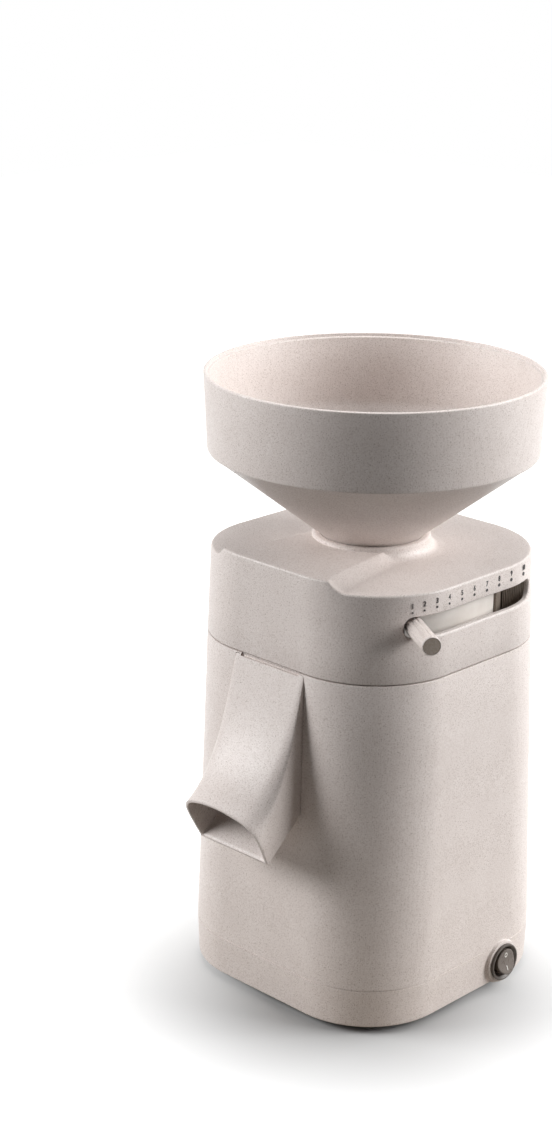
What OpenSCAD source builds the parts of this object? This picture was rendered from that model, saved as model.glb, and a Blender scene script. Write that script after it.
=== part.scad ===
// Electric grain mill: hopper, top cover with the setting lever, body with a moulded flour spout,
// two grinding stones and the upright motor that drives the lower one.
// +Z is up, the front with the spout is -Y, and the origin is on the mill's axis at table height.

/* [Housing] */
// Height of the rubber feet below the housing's lower edge
foot_h = 4; // [3:0.5:8]
// Width of the housing at its lower edge
foot_w = 165.6; // [160:0.5:172]
// Width of the housing at the crease above its lower edge
crease_w = 167.2; // [163:0.5:174]
// Width of the housing at the seam below the cover
seam_w = 160.6; // [157:0.5:166]
// Corner radius at the lower edge
foot_corner_r = 50; // [42:1:56]
// Corner radius at the seam
seam_corner_r = 53; // [44:1:58]
// Height of the housing, lower edge to seam
housing_h = 201.5; // [197:0.5:215]
// Height of the crease above the lower edge
crease_h = 23; // [15:1:40]
// Wall of the housing, the cover and the spout hood
wall = 3; // [2.5:0.25:3.5]

/* [Cover] */
// Height of the cover, seam to its flat top
cover_h = 49.3; // [48:0.5:60]
// Width of the cover at its top
cover_top_w = 159.6; // [156:0.5:165]
// Corner radius of the cover at its top
top_corner_r = 56; // [46:1:60]
// Bevel along the cover's top edge
top_bevel = 1.2; // [0.5:0.1:2]
// Visible gap at the seam
seam_gap = 0.4; // [0.2:0.1:1]
// Width of the lifting notch under the cover's front edge
notch_w = 44; // [30:1:50]
// Height of the lifting notch
notch_h = 2; // [1:0.2:3]
// Rise of the spine above the flat top
spine_h = 5.8; // [3:0.2:7]
// Width of the spine where it meets the collar
spine_neck_w = 56; // [44:1:64]
// Width of the spine at the front edge
spine_front_w = 82; // [66:1:96]
// Width of the slope at each side of the spine, at the collar
spine_slope = 4; // [3:0.5:8]
// Width of the slope at each side of the spine, at the front edge
spine_flare = 14; // [6:1:18]
// Rise of the collar above the flat top
collar_h = 7.8; // [7:0.2:10]
// Width of the collar's rounded ring around the hopper's shoulder
collar_ring = 4.3; // [3.5:0.1:6]
// Radius of the concave blend at the foot of the collar
collar_blend = 6; // [3:0.5:7]

/* [Lever and slot] */
// Height of the slot's middle above the seam
slot_up = 31; // [29:0.5:33]
// Clear height of the slot
slot_h = 12; // [11:0.5:14]
// Direction of the lever at setting 1, in degrees from +X
lever_rest = -32; // [-34:1:-28]
// Turn of the lever from setting 1 to setting 10
lever_turn = 60; // [50:1:62]
// Free turn between the lever and each end of the slot
slot_slack = 1; // [0.5:0.5:2]
// Diameter of the lever knob
knob_d = 10; // [8:0.5:10.5]
// Radius at which the knob begins
knob_in_r = 84; // [82:1:90]
// Radius at which the knob ends
knob_out_r = 116.9; // [108:1:122]
// Diameter of the lever arm
arm_d = 6; // [4:0.5:7]

/* [Spout] */
// Width of the spout where it leaves the body
spout_w = 52; // [48:1:58]
// Width of the spout at its mouth
mouth_w = 56; // [50:1:62]
// Height of the spout on the body's front
spout_root_h = 81.7; // [78:1:84]
// Reach of the upper lip beyond the seam's front
lip_out = 43; // [38:1:50]
// Depth of the upper lip below the seam
lip_drop = 71.8; // [66:1:76]
// Reach of the lower lip beyond the seam's front
toe_out = 26.3; // [22:1:32]
// Depth of the lower lip below the seam
toe_drop = 103.8; // [98:1:110]
// Depth of the hollow curve of the spout's back
spout_sag = 5.4; // [2:0.2:8]
// Radius of the mouth's upper corners
mouth_corner_r = 14; // [8:1:16]
// Rise of the mouth's arch in the middle
mouth_crown = 3.5; // [1:0.5:5]
// Wall at the spout's mouth
lip_wall = 2.2; // [1.6:0.2:3]

/* [Hopper] */
// Outer diameter of the hopper at its rim
hopper_d = 188; // [150:1:200]
// Outer diameter where the rim band meets the cone
hopper_cone_d = 184; // [146:1:196]
// Height of the upright rim band
hopper_band_h = 42.7; // [30:1:60]
// Height of the cone
hopper_cone_h = 49.3; // [40:1:60]
// Wall of the hopper
hopper_wall = 3; // [2:0.25:3.5]
// Outer diameter of the spigot in the cover
spigot_d = 52; // [46:1:54]
// Length of the spigot below the hopper's shoulder
spigot_h = 19.3; // [14:0.5:20]
// Width of the shoulder that rests in the collar
shoulder = 2.7; // [1.5:0.1:3]
// Depth of the shoulder in the collar
shoulder_h = 3.7; // [2:0.1:4]

/* [Stones] */
// Diameter of both stones
stone_d = 88; // [76:1:96]
// Wall of the upper stone's carrier around the stone
carrier_wall = 5.4; // [3:0.2:7]
// Height of the lower stone
lower_stone_h = 18; // [14:0.5:19]
// Height of the upper stone
upper_stone_h = 15.6; // [12:0.2:16.5]
// Gap between the stones at setting 1
stone_gap = 0.4; // [0.3:0.05:0.8]
// Diameter of the feed eye in the upper stone
eye_d = 34; // [28:1:38]
// Number of furrows in each stone
furrows = 12; // [6:1:16]
// Depth of the furrows
furrow_depth = 1.5; // [0.5:0.25:2.5]
// Width of the furrows
furrow_w = 3; // [2:0.25:4]
// Rise of the upper stone from setting 1 to setting 10
stone_lift = 0.8; // [0.4:0.1:1.2]

/* [Milling chamber] */
// Radial gap between the upper stone's carrier and the chamber
chamber_gap = 0.7; // [0.5:0.1:1.5]
// Wall of the chamber
chamber_wall = 3.8; // [3:0.2:4.5]
// Depth of the motor plate's top below the seam
plate_drop = 59.5; // [57:0.5:62]
// Thickness of the chamber's floor
floor_t = 4; // [3:0.5:5]
// Height of the chamber's foot ring
chamber_foot_h = 8; // [6:0.5:9]
// Inner width of the outlet duct
duct_w = 38; // [30:1:42]
// Wall of the outlet duct
duct_wall = 2.5; // [1.5:0.25:3]
// Height of the outlet above the chamber floor
outlet_h = 26; // [20:1:28]
// Height of the wipers under the stone carrier
wiper_h = 7.4; // [6:0.2:8]
// Number of wipers
wipers = 4; // [2:1:6]
// Thickness of the stone carrier
carrier_t = 6; // [4:0.5:6.5]

/* [Motor] */
// Outer diameter of the motor
motor_d = 116; // [100:1:116]
// Clear height between the base plate and the cooling fan
fan_clear = 31; // [16:1:40]
// Number of stator slots
stator_slots = 24; // [12:6:36]
// Diameter of the rotor
rotor_d = 64; // [50:1:68]
// Air gap between rotor and stator
air_gap = 0.5; // [0.3:0.1:1]
// Height of the upper end shield
upper_shield_h = 24; // [22:0.5:28]
// Height of the lower end shield
lower_shield_h = 22; // [20:0.5:24]
// Diameter of the shaft in the upper bearing
shaft_d = 17; // [15:1:19]
// Diameter of the shaft in the lower bearing
shaft_low_d = 15; // [12:1:16]
// Diameter of the shaft's tip in the stone carrier
shaft_tip_d = 14; // [11:1:14]
// Diameter of the cooling fan
fan_d = 88; // [70:1:92]
// Height of the fan's blades
fan_h = 9; // [6:0.5:11]
// Number of fan blades
fan_blades = 9; // [5:1:13]

/* [Base and fittings] */
// Thickness of the base plate
base_t = 3; // [2:0.5:4]
// Recess of the base plate in the housing's lower edge
base_recess = 1; // [0.5:0.5:2]
// Diameter of the feet
foot_d = 18; // [14:1:22]
// Distance of each foot from both middle planes
foot_at = 52; // [46:1:53]
// Distance of the switch behind the mill's axis
switch_y = 27; // [20:1:30]
// Height of the switch above the housing's lower edge
switch_up = 12; // [11.5:0.5:16]
// Diameter of the switch's cut-out
switch_d = 20; // [19:0.5:21]
// Diameter of the switch's bezel
bezel_d = 22; // [21.5:0.5:23]
// Diameter of the raised boss around the switch
switch_boss_d = 25; // [24:0.5:28]
// Height of the raised boss above the wall
switch_boss_out = 2.4; // [1:0.1:3.5]
// Tilt of the rocker to each side
rocker_tilt = 10; // [6:1:12]
// Height of the cord gland above the housing's lower edge
gland_up = 16; // [12:1:22]
// Diameter of the cord that the gland takes
cord_d = 7.2; // [6:0.2:8]

/* [Hidden] */

// Thin slice that a hull blends from
sliver = 0.01;
// Overshoot of a cut past the face it opens
cut = 1;
// Radial clearance of a running fit
run_fit = 0.05;
// Radial clearance of screws and plugs in their holes
hole_fit = 0.1;
// Gap between pieces that move past each other
move_gap = 0.3;
// Gap around the pieces set into the housing
set_gap = 0.5;

// Levels of the housing and the cover
bottom_z = foot_h;
crease_z = bottom_z + crease_h;
seam_z = bottom_z + housing_h;
cover_z = seam_z + seam_gap;
top_z = cover_z + cover_h;
spine_z = top_z + spine_h;
collar_z = top_z + collar_h;

// Half width and corner radius of the outer faces at a height
levels = [bottom_z, crease_z, seam_z, top_z];
half_widths = [foot_w / 2, crease_w / 2, seam_w / 2, cover_top_w / 2];
corner_radii = [foot_corner_r, foot_corner_r + 0.5, seam_corner_r, top_corner_r];
function half_at(z) = lookup(z, [for (i = [0:3]) [levels[i], half_widths[i]]]);
function corner_at(z) = lookup(z, [for (i = [0:3]) [levels[i], corner_radii[i]]]);

// Slot, lever and adjusting ring
slot_z = seam_z + slot_up;
slot_from = lever_rest - slot_slack;
slot_to = lever_rest + lever_turn + slot_slack;
ring_under = 7;
ring_h = 10.5;
ring_z = slot_z - ring_under;
ring_top_z = ring_z + ring_h;
stone_r = stone_d / 2;
holder_r = stone_r + hole_fit + carrier_wall;
thread_step = 2.5;
thread_r = holder_r - thread_step;
chamber_r = holder_r + chamber_gap;
chamber_out_r = chamber_r + chamber_wall;
rim_z = ring_z - move_gap;
ring_skirt_h = 8;
ring_skirt_t = 4;
ring_r = chamber_out_r + run_fit + ring_skirt_t;
shutter_r = 72.5;
shutter_t = 2.5;
shutter_from = lever_rest - 1;
shutter_to = 12;
shutter_plate_t = 3;
shutter_over = 1.3;
arm_inset = 4;
arm_in_r = thread_r + arm_inset;
knob_end = 6;

// Keeper above the ring, on pillars of the chamber's flange
keeper_z = ring_top_z + move_gap;
keeper_t = 2;
pillar_r = 3.5;
pillar_gap = 2.5;
pillar_at_r = ring_r + pillar_gap + pillar_r;
pillar_angles = [-62, 92, 165, 240];
pillar_flange_t = 4;
pillar_flange_under = 3.3;
pillar_flange_z = rim_z - ring_skirt_h - pillar_flange_under - pillar_flange_t;
pillar_edge = 1;
pillar_flange_r = pillar_at_r + pillar_r + pillar_edge;
keeper_lap = 1;
keeper_screw_r = 1.5;
keeper_grip = 8;

// Mill stack, from the motor plate upwards
plate_t = 4;
plate_top_z = seam_z - plate_drop;
plate_z = plate_top_z - plate_t;
floor_under_z = plate_top_z + chamber_foot_h;
floor_z = floor_under_z + floor_t;
wiper_gap = 0.6;
disc_z = floor_z + wiper_gap + wiper_h;
lower_stone_z = disc_z + carrier_t;
grind_z = lower_stone_z + lower_stone_h;
upper_stone_z = grind_z + stone_gap;
holder_z = upper_stone_z + upper_stone_h;
eye_r = eye_d / 2;
holder_t = 4;
holder_skirt_h = 10;
lug_w = 8;
keyway_skin = 1;
lug_r = chamber_out_r - keyway_skin - move_gap;
lug_angles = [90, 210, 330];
keyway_deep = 1;
neck_wall = 5;
neck_in_r = thread_r - neck_wall;
funnel_r = 24;
funnel_wall = 2.5;
funnel_gap = 1.1;
hub_r = 13;
hub_h = 16;
hub_gap = 2;
hub_z = floor_z + hub_gap;
chamber_flange_w = 12;
chamber_flange_r = chamber_out_r + chamber_flange_w;
chamber_flange_t = 4;
chamber_screw_edge = 5;
chamber_screw_r = chamber_flange_r - chamber_screw_edge;
foot_ring_w = 8;
foot_ring_in_r = chamber_out_r - foot_ring_w;
seal_r = 14;
dish_r = 0.72 * stone_r;

// Motor, from the plate downwards
shield_top_z = plate_z;
stack_top_z = shield_top_z - upper_shield_h;
base_z = bottom_z + base_recess;
base_top_z = base_z + base_t;
fan_gap = 2;
fan_z = base_top_z + fan_clear;
shield_z = fan_z + fan_h + fan_gap;
stack_z = shield_z + lower_shield_h;
stack_h = stack_top_z - stack_z;
motor_r = motor_d / 2;
rotor_r = rotor_d / 2;
shaft_r = shaft_d / 2;
shaft_low_r = shaft_low_d / 2;
shaft_tip_r = shaft_tip_d / 2;
shaft_step = 0.5;
shaft_mid_r = shaft_r + shaft_step;
shield_wall = 4;
shield_slope_w = 12;
shield_neck_r = motor_r - shield_slope_w;
upper_bearing_r = 20;
upper_bearing_h = 12;
lower_bearing_r = 17.5;
lower_bearing_h = 11;
bearing_wall = 3.5;
upper_bearing_z = shield_top_z - shield_wall - upper_bearing_h;
lower_bearing_z = shield_z + shield_wall;
shield_screw_r = 36;
shield_hole_h = 12;
tie_r = 2;
tie_inset = 4.2;
tie_at_r = motor_r - tie_inset;
tie_reach = 5.6;
tooth_lip = 2;
coil_in_r = rotor_r + air_gap + tooth_lip;
yoke_w = 13;
coil_out_r = motor_r - yoke_w;
coil_w = 4.4;
slot_mouth = 2;
fan_hub_r = 10;
fan_disc_t = 1.5;
shaft_end = 3;
stone_nut_af = 19;
stone_nut_h = 8;

// Base and fittings
base_boss_r = 4.5;
base_boss_h = 22;
base_boss_x = 40;
base_boss_inset = 11.5;
base_hole_h = 14;
base_grip = 10;
screw_r = 2;
head_r = 3.8;
head_h = 2.4;
hex_depth = 1.4;
post_r = 5;
post_inset = 10.6;
post_y = 32;
post_h = 44;
post_hole_h = 16;
post_grip = 12;
bush_r = 6;
bush_h = 4;
post_top_z = plate_z - bush_h;
post_x = half_at(post_top_z) - post_inset;
base_boss_y = half_at(base_top_z) - base_boss_inset;
cap_r = 15;
cap_h = 60;
cap_bevel = 2;
cap_at = 53;
cup_h = 18;
cup_wall = 1.7;
shroud_r = fan_d / 2 + 3;
shroud_t = 2;
shroud_h = fan_clear + fan_h / 2;
foot_plug_r = 3;
terminal_size = [30, 17, 13];
terminal_turn = 53;
terminal_from = (shroud_r + shroud_t + move_gap) * [cos(terminal_turn), sin(terminal_turn)];
terminal_poles = 3;
terminal_wire_r = 2;
terminal_wire_z = 6;
tab_t = 0.8;
tab_w = 6.3;
tab_h = 8;

// Switch, set into the wall at +X
switch_z = bottom_z + switch_up;
switch_wall_x = half_at(switch_z);
switch_face_x = switch_wall_x + switch_boss_out;
bezel_t = 1.8;
bezel_x = switch_face_x + bezel_t;
switch_r = switch_d / 2;
barrel_r = switch_r - run_fit;
recess_r = barrel_r - 1.25;
rocker_pivot_x = bezel_x - 5;
rocker_r = recess_r - 1.3;
rocker_swing_r = rocker_r + 2.2;
rocker_pin_r = 1.2;
barrel_depth = 17;
bezel_edge = 0.6;
recess_under = 6.5;
switch_box = [8, 15, 13];

// Cord gland, set into the rear wall
gland_z = bottom_z + gland_up;
gland_wall_y = half_at(gland_z);
gland_r = 6.2;
gland_flange_r = 9;
gland_flange_t = 2.5;
gland_nose = 5;
gland_nose_r = 7.4;
gland_in = 13;
gland_nut_t = 5;
gland_nut_r = 9.6;

// Hopper
spigot_r = spigot_d / 2;
seat_z = collar_z - shoulder_h - move_gap;
shoulder_z = seat_z + move_gap;
spigot_z = shoulder_z - spigot_h;
shoulder_r = spigot_r + shoulder;
socket_wall = 3;
socket_under = 1.5;
socket_z = spigot_z - socket_under;
funnel_top_z = socket_z - funnel_gap - stone_lift;
cone_z = collar_z + hopper_cone_h;
hopper_z = cone_z + hopper_band_h;
cone_slope = hopper_cone_h / (hopper_cone_d / 2 - shoulder_r);
cone_wall_z = hopper_wall * sqrt(1 + cone_slope * cone_slope);

// Spout: upper line, floor line and the section at a stage of the way out
front_y = -seam_w / 2;
apex = [front_y, seam_z - 1];
lip = [front_y - lip_out, seam_z - lip_drop];
toe = [front_y - toe_out, seam_z - toe_drop];
root_z = seam_z - 1 - spout_root_h;
root = [-half_at(root_z), root_z];
spout_steps = 3;
spout_edge_r = 2;
spout_edge_crown = 0.2;
function mix(a, b, t) = a + (b - a) * t;
function along(a, b) = (b - a) / norm(b - a);
function spout_top(t) =
    let (line = along(apex, lip))
    mix(apex, lip, t) + 4 * spout_sag * t * (1 - t) * [-line[1], line[0]];
function spout_floor(t) = mix(root, toe, t);
chute_slope = (root[1] - toe[1]) / (root[0] - toe[0]);
function chute_z(y) = root[1] + lip_wall + chute_slope * (y - root[0]);

// Outline of a rounded square, from quarter circles
function rounded_square(half, r, steps = 16) =
    [for (q = [0:3], i = [0:steps])
        let (turn = 90 * (q + i / steps), side = half - r)
        [side * [1, -1, -1, 1][q] + r * cos(turn), side * [1, 1, -1, -1][q] + r * sin(turn)]];

// Outline of the spout's section: flat floor, upright sides, round upper corners and an arched top
function arch(half, high, r, crown, steps = 8, turn = 80, bevel = 1) =
    let (right = [for (i = [0:steps])
            [half - r + r * cos(turn * i / steps), high - crown - r + r * sin(turn * i / steps)]])
    concat([[half - bevel, 0], [half, bevel]], right, [[0, high]],
           [for (i = [steps:-1:0]) [-right[i][0], right[i][1]]], [[-half, bevel], [bevel - half, 0]]);

// One thin slice of the housing's outer shape, moved inwards by inset
module body_slice(z, inset = 0, lift = 0) {
    translate([0, 0, z + lift])
        linear_extrude(sliver)
            polygon(rounded_square(half_at(z) - inset, corner_at(z) - inset));
}

// One thin slice of the spout, set up between its floor line and its upper line
module spout_slice(t, inset = 0, out = 0) {
    low = spout_floor(t);
    high = spout_top(t);
    rise = high - low;
    half = mix(spout_w, mouth_w, t) / 2 - inset;
    r = mix(spout_edge_r, mouth_corner_r, t);
    translate([0, low[0] - out, low[1]])
        rotate([atan2(rise[1], rise[0]), 0, 0])
            translate([0, inset, 0])
                linear_extrude(sliver)
                    polygon(arch(half, norm(rise) - 2 * inset, max(r - inset, spout_edge_r / 2),
                                 mix(spout_edge_crown, mouth_crown, t)));
}

// A screw with its head upwards, its head's underside at z = 0
module screw(length, r = screw_r, head = head_r, high = head_h) {
    difference() {
        union() {
            cylinder(h = high, r = head, $fn = 32);
            translate([0, 0, -length])
                cylinder(h = length + sliver, r = r, $fn = 32);
        }
        translate([0, 0, high - hex_depth])
            cylinder(h = hex_depth + cut, r = head / 2, $fn = 6);
    }
}

// Copies its child to the four quadrants, mirrored
module four_corners() {
    for (sx = [0, 1], sy = [0, 1])
        mirror([sx, 0, 0])
            mirror([0, sy, 0])
                children();
}

// A flat ring between two radii
module ring(out_r, in_r, h, fn = 96) {
    difference() {
        cylinder(h = h, r = out_r, $fn = fn);
        translate([0, 0, -cut])
            cylinder(h = h + 2 * cut, r = in_r, $fn = fn);
    }
}

// Ring-shaped block of the slot: full height between two angles, with round ends
module slot_space(in_r, out_r) {
    end_r = slot_h / 2;
    translate([0, 0, slot_z])
        rotate([0, 0, slot_from])
            rotate_extrude(angle = slot_to - slot_from, $fn = 96)
                translate([in_r, -end_r])
                    square([out_r - in_r, slot_h]);
    for (turn = [slot_from, slot_to])
        translate([0, 0, slot_z])
            rotate([0, 90, turn])
                translate([0, 0, in_r])
                    cylinder(h = out_r - in_r, r = end_r, $fn = 48);
}

module housing_shell() {
    difference() {
        hull() {
            body_slice(bottom_z);
            body_slice(crease_z);
            body_slice(seam_z, 0, -sliver);
        }
        hull() {
            body_slice(bottom_z, wall, -cut);
            body_slice(crease_z, wall);
            body_slice(seam_z, wall, cut);
        }
    }
}

module spout_hood() {
    wall_slice_y = -half_at(root_z) + 2 * wall / 3;
    set_in = max(wall_slice_y - front_y, sliver);
    hull() {
        translate([0, wall_slice_y, root_z])
            rotate([90, 0, 0])
                linear_extrude(set_in)
                    polygon(arch(spout_w / 2, apex[1] - root_z, spout_edge_r, spout_edge_crown));
        spout_slice(1 / spout_steps);
    }
    for (i = [1:spout_steps - 1])
        hull() {
            spout_slice(i / spout_steps);
            spout_slice((i + 1) / spout_steps);
        }
}

module spout_channel() {
    inner_slice_y = max(front_y, root[0]) + wall + cut;
    inner_slice_h = apex[1] - chute_z(inner_slice_y) - 3 * wall;
    hull() {
        translate([0, inner_slice_y, chute_z(inner_slice_y)])
            rotate([90, 0, 0])
                linear_extrude(sliver)
                    polygon(arch(spout_w / 2 - wall, inner_slice_h, spout_edge_r, spout_edge_crown));
        spout_slice(2 / spout_steps, lip_wall);
    }
    hull() {
        spout_slice(2 / spout_steps, lip_wall);
        spout_slice(1, lip_wall, cut);
    }
}

// Notch below the cover's front edge, to lift the cover off
module lifting_notch() {
    translate([-notch_w / 2, front_y - cut, seam_z - notch_h])
        cube([notch_w, wall / 3 + cut, notch_h + cut]);
}

// Post for the motor plate, on a web to the side wall, with a sloped lower end
module plate_post() {
    web = 4;
    translate([post_x, post_y, post_top_z - post_h])
        cylinder(h = post_h, r = post_r, $fn = 48);
    translate([post_x, post_y, post_top_z - post_h - post_r])
        cylinder(h = post_r, r1 = 0.5, r2 = post_r, $fn = 48);
    translate([post_x, post_y - web / 2, post_top_z - post_h])
        cube([post_inset - wall / 2, web, post_h - wall]);
}

// Boss for a base screw, on a web to the front or rear wall
module base_boss() {
    web = 3;
    translate([base_boss_x, base_boss_y, base_top_z])
        cylinder(h = base_boss_h, r = base_boss_r, $fn = 48);
    translate([base_boss_x - web / 2, base_boss_y, base_top_z])
        cube([web, base_boss_inset - 3 * wall / 4, base_boss_h]);
}

module body_housing() {
    boss_in = 2;
    color([0.87, 0.84, 0.80])
        difference() {
            union() {
                difference() {
                    housing_shell();
                    spout_hood();
                }
                four_corners()
                    plate_post();
                four_corners()
                    base_boss();
                translate([switch_wall_x - wall - boss_in, switch_y, switch_z])
                    rotate([0, 90, 0])
                        cylinder(h = wall + boss_in + switch_boss_out, r = switch_boss_d / 2, $fn = 96);
            }
            spout_channel();
            lifting_notch();
            translate([switch_wall_x - 2 * wall, switch_y, switch_z])
                rotate([0, 90, 0])
                    cylinder(h = 4 * wall, r = switch_r, $fn = 96);
            translate([0, gland_wall_y + cut, gland_z])
                rotate([90, 0, 0])
                    cylinder(h = wall + 2 * cut, r = gland_r + hole_fit, $fn = 64);
            four_corners()
                translate([post_x, post_y, post_top_z - post_hole_h])
                    cylinder(h = post_hole_h + cut, r = screw_r + hole_fit, $fn = 32);
            four_corners()
                translate([base_boss_x, base_boss_y, base_top_z - cut])
                    cylinder(h = base_hole_h + cut, r = screw_r + hole_fit, $fn = 32);
        }
}

// Flour spout, set into a shallow pocket in the housing's front wall
module flour_spout() {
    color([0.87, 0.84, 0.80])
        difference() {
            spout_hood();
            spout_channel();
            lifting_notch();
        }
}

// Raised spine from the collar to the front edge, kept inside the cover's outer faces
module cover_spine() {
    back = -spigot_r + 4;
    front = -seam_w;
    module plan(z, neck_slope, edge_slope) {
        run = (front - back) / (front_y - back);
        neck = spine_neck_w / 2 + neck_slope;
        edge = mix(neck, spine_front_w / 2 + edge_slope, run);
        translate([0, 0, z])
            linear_extrude(sliver)
                polygon([[-neck, back], [neck, back], [edge, front], [-edge, front]]);
    }
    intersection() {
        hull() {
            body_slice(top_z, 0, -4);
            body_slice(top_z, 0, spine_h - top_bevel);
            body_slice(top_z, top_bevel, spine_h - sliver);
        }
        hull() {
            plan(top_z - 0.4, spine_slope, spine_flare);
            plan(spine_z - sliver, 0, 0);
        }
    }
}

// Collar around the hopper's shoulder: rounded ring above a concave blend
module cover_collar() {
    ring_in = shoulder_r + move_gap;
    ring_out = ring_in + collar_ring;
    round_r = 1.6;
    rotate_extrude($fn = 128)
        difference() {
            union() {
                translate([spigot_r, top_z - 1])
                    square([ring_out - spigot_r, collar_h + 1 - round_r]);
                translate([spigot_r, collar_z - round_r - sliver])
                    square([ring_out - round_r - spigot_r, round_r + sliver]);
                translate([ring_out - round_r, collar_z - round_r])
                    circle(r = round_r, $fn = 32);
                translate([ring_out - 1, top_z - 1])
                    square([collar_blend + 1, collar_blend + 1]);
            }
            translate([ring_out + collar_blend, top_z + collar_blend])
                circle(r = collar_blend, $fn = 64);
        }
}

module top_cover() {
    tongue_h = 7;
    tongue_t = 2;
    tongue_gap = 0.15;
    color([0.88, 0.85, 0.81])
        difference() {
            union() {
                difference() {
                    union() {
                        hull() {
                            body_slice(cover_z);
                            body_slice(top_z, 0, -top_bevel);
                            body_slice(top_z, top_bevel, -sliver);
                        }
                        hull() {
                            body_slice(seam_z, wall + tongue_gap, -tongue_h);
                            body_slice(seam_z, wall + tongue_gap, cut);
                        }
                    }
                    hull() {
                        body_slice(seam_z, wall + tongue_gap + tongue_t, -tongue_h - cut);
                        body_slice(seam_z, wall + tongue_gap + tongue_t, 4);
                        body_slice(seam_z, wall, 4 + tongue_t);
                        body_slice(top_z, wall, -wall);
                    }
                }
                cover_spine();
                cover_collar();
                translate([0, 0, socket_z])
                    cylinder(h = top_z - socket_z, r = spigot_r + run_fit + socket_wall, $fn = 128);
            }
            translate([0, 0, socket_z - cut])
                cylinder(h = collar_z - socket_z + 2 * cut, r = spigot_r + run_fit, $fn = 128);
            translate([0, 0, seat_z])
                cylinder(h = collar_z, r = shoulder_r + move_gap, $fn = 128);
            slot_space(half_at(slot_z) - wall - 10, hopper_d);
        }
}

// Bowl, cone and spigot in one thin turned wall
module hopper() {
    rim_r = hopper_d / 2;
    band_r = hopper_cone_d / 2;
    throat_r = spigot_r - hopper_wall - 1;
    lip_bevel = hopper_wall / 3;
    in_z = collar_z + cone_wall_z;
    in_band_r = band_r - hopper_wall;
    color([0.88, 0.85, 0.81])
        rotate_extrude($fn = 180)
            polygon([[throat_r, spigot_z], [spigot_r - 1, spigot_z], [spigot_r, spigot_z + 1],
                     [spigot_r, shoulder_z], [shoulder_r, shoulder_z], [shoulder_r, collar_z],
                     [band_r, cone_z], [rim_r, hopper_z - 0.4], [rim_r - 0.4, hopper_z],
                     [rim_r - hopper_wall + lip_bevel, hopper_z],
                     [rim_r - hopper_wall, hopper_z - lip_bevel],
                     [in_band_r, in_z + cone_slope * (in_band_r - shoulder_r)],
                     [throat_r, in_z + cone_slope * (throat_r - shoulder_r)]]);
}

// Floor of the housing: intake slots under the fan, its shroud and the capacitor's cup
module base_plate() {
    inset = wall + set_gap;
    slot_w = 4;
    slots = 9;
    cup_r = cap_r + move_gap;
    switch_room = 14;
    switch_in_x = switch_wall_x - wall - switch_room;
    color([0.24, 0.23, 0.22])
        difference() {
            union() {
                translate([0, 0, base_z])
                    linear_extrude(base_t)
                        polygon(rounded_square(half_at(base_z) - inset, corner_at(base_z) - inset));
                translate([0, 0, base_top_z - sliver])
                    ring(shroud_r + shroud_t, shroud_r, shroud_h);
                translate([-cap_at, cap_at, base_top_z - sliver])
                    ring(cup_r + cup_wall, cup_r, cup_h, 64);
            }
            for (i = [0:slots - 1]) {
                x = (i - (slots - 1) / 2) * 2 * slot_w;
                reach = sqrt(pow(fan_d / 2 - 4, 2) - x * x);
                translate([x - slot_w / 2, -reach, base_z - cut])
                    cube([slot_w, 2 * reach, base_t + 2 * cut]);
            }
            translate([switch_in_x, switch_y - switch_r - cut, base_z - cut])
                cube([switch_wall_x - switch_in_x, 2 * (switch_r + cut), base_t + 2 * cut]);
            four_corners()
                translate([foot_at, foot_at, base_z - cut])
                    cylinder(h = base_t + 2 * cut, r = foot_plug_r + hole_fit, $fn = 32);
            four_corners()
                translate([base_boss_x, base_boss_y, base_z - cut])
                    cylinder(h = base_t + 2 * cut, r = screw_r + hole_fit, $fn = 32);
        }
}

module rubber_feet() {
    color([0.62, 0.61, 0.60])
        four_corners()
            translate([foot_at, foot_at, 0]) {
                cylinder(h = base_z, r1 = foot_d / 2 - 1, r2 = foot_d / 2, $fn = 48);
                translate([0, 0, base_z - sliver])
                    cylinder(h = base_t, r = foot_plug_r, $fn = 32);
            }
}

module base_screws() {
    color([0.72, 0.72, 0.74])
        four_corners()
            translate([base_boss_x, base_boss_y, base_z])
                rotate([180, 0, 0])
                    screw(base_t + base_grip);
}

// Cord entry through the rear wall
module cord_gland() {
    flange_z = gland_in + wall + set_gap;
    nose_z = flange_z + gland_flange_t - set_gap;
    length = nose_z + gland_nose;
    color([0.12, 0.12, 0.13])
        translate([0, gland_wall_y - wall - gland_in, gland_z])
            rotate([-90, 0, 0])
                difference() {
                    union() {
                        cylinder(h = flange_z + cut, r = gland_r, $fn = 64);
                        translate([0, 0, flange_z])
                            cylinder(h = gland_flange_t, r = gland_flange_r, $fn = 64);
                        translate([0, 0, nose_z])
                            cylinder(h = gland_nose, r1 = gland_nose_r, r2 = gland_nose_r - 1.6, $fn = 64);
                    }
                    translate([0, 0, -cut])
                        cylinder(h = length + 2 * cut, r = cord_d / 2, $fn = 64);
                }
}

module gland_nut() {
    color([0.14, 0.14, 0.15])
        translate([0, gland_wall_y - wall - set_gap, gland_z])
            rotate([90, 0, 0])
                difference() {
                    cylinder(h = gland_nut_t, r = gland_nut_r, $fn = 6);
                    translate([0, 0, -cut])
                        cylinder(h = gland_nut_t + 2 * cut, r = gland_r + run_fit, $fn = 64);
                }
}

// Three-pole block where the cord meets the motor's leads
module terminal_block() {
    size = terminal_size;
    color([0.85, 0.84, 0.80])
        translate([terminal_from[0], terminal_from[1], base_top_z])
            difference() {
                cube(size);
                for (i = [0:terminal_poles - 1])
                    translate([(i + 0.5) * size[0] / terminal_poles, 0, terminal_wire_z]) {
                        translate([0, -cut, 0])
                            rotate([-90, 0, 0])
                                cylinder(h = size[1] + 2 * cut, r = terminal_wire_r, $fn = 24);
                        for (y = [size[1] / 4, 3 * size[1] / 4])
                            translate([0, y, 0])
                                cylinder(h = size[2], r = screw_r, $fn = 24);
                    }
            }
}

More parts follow.
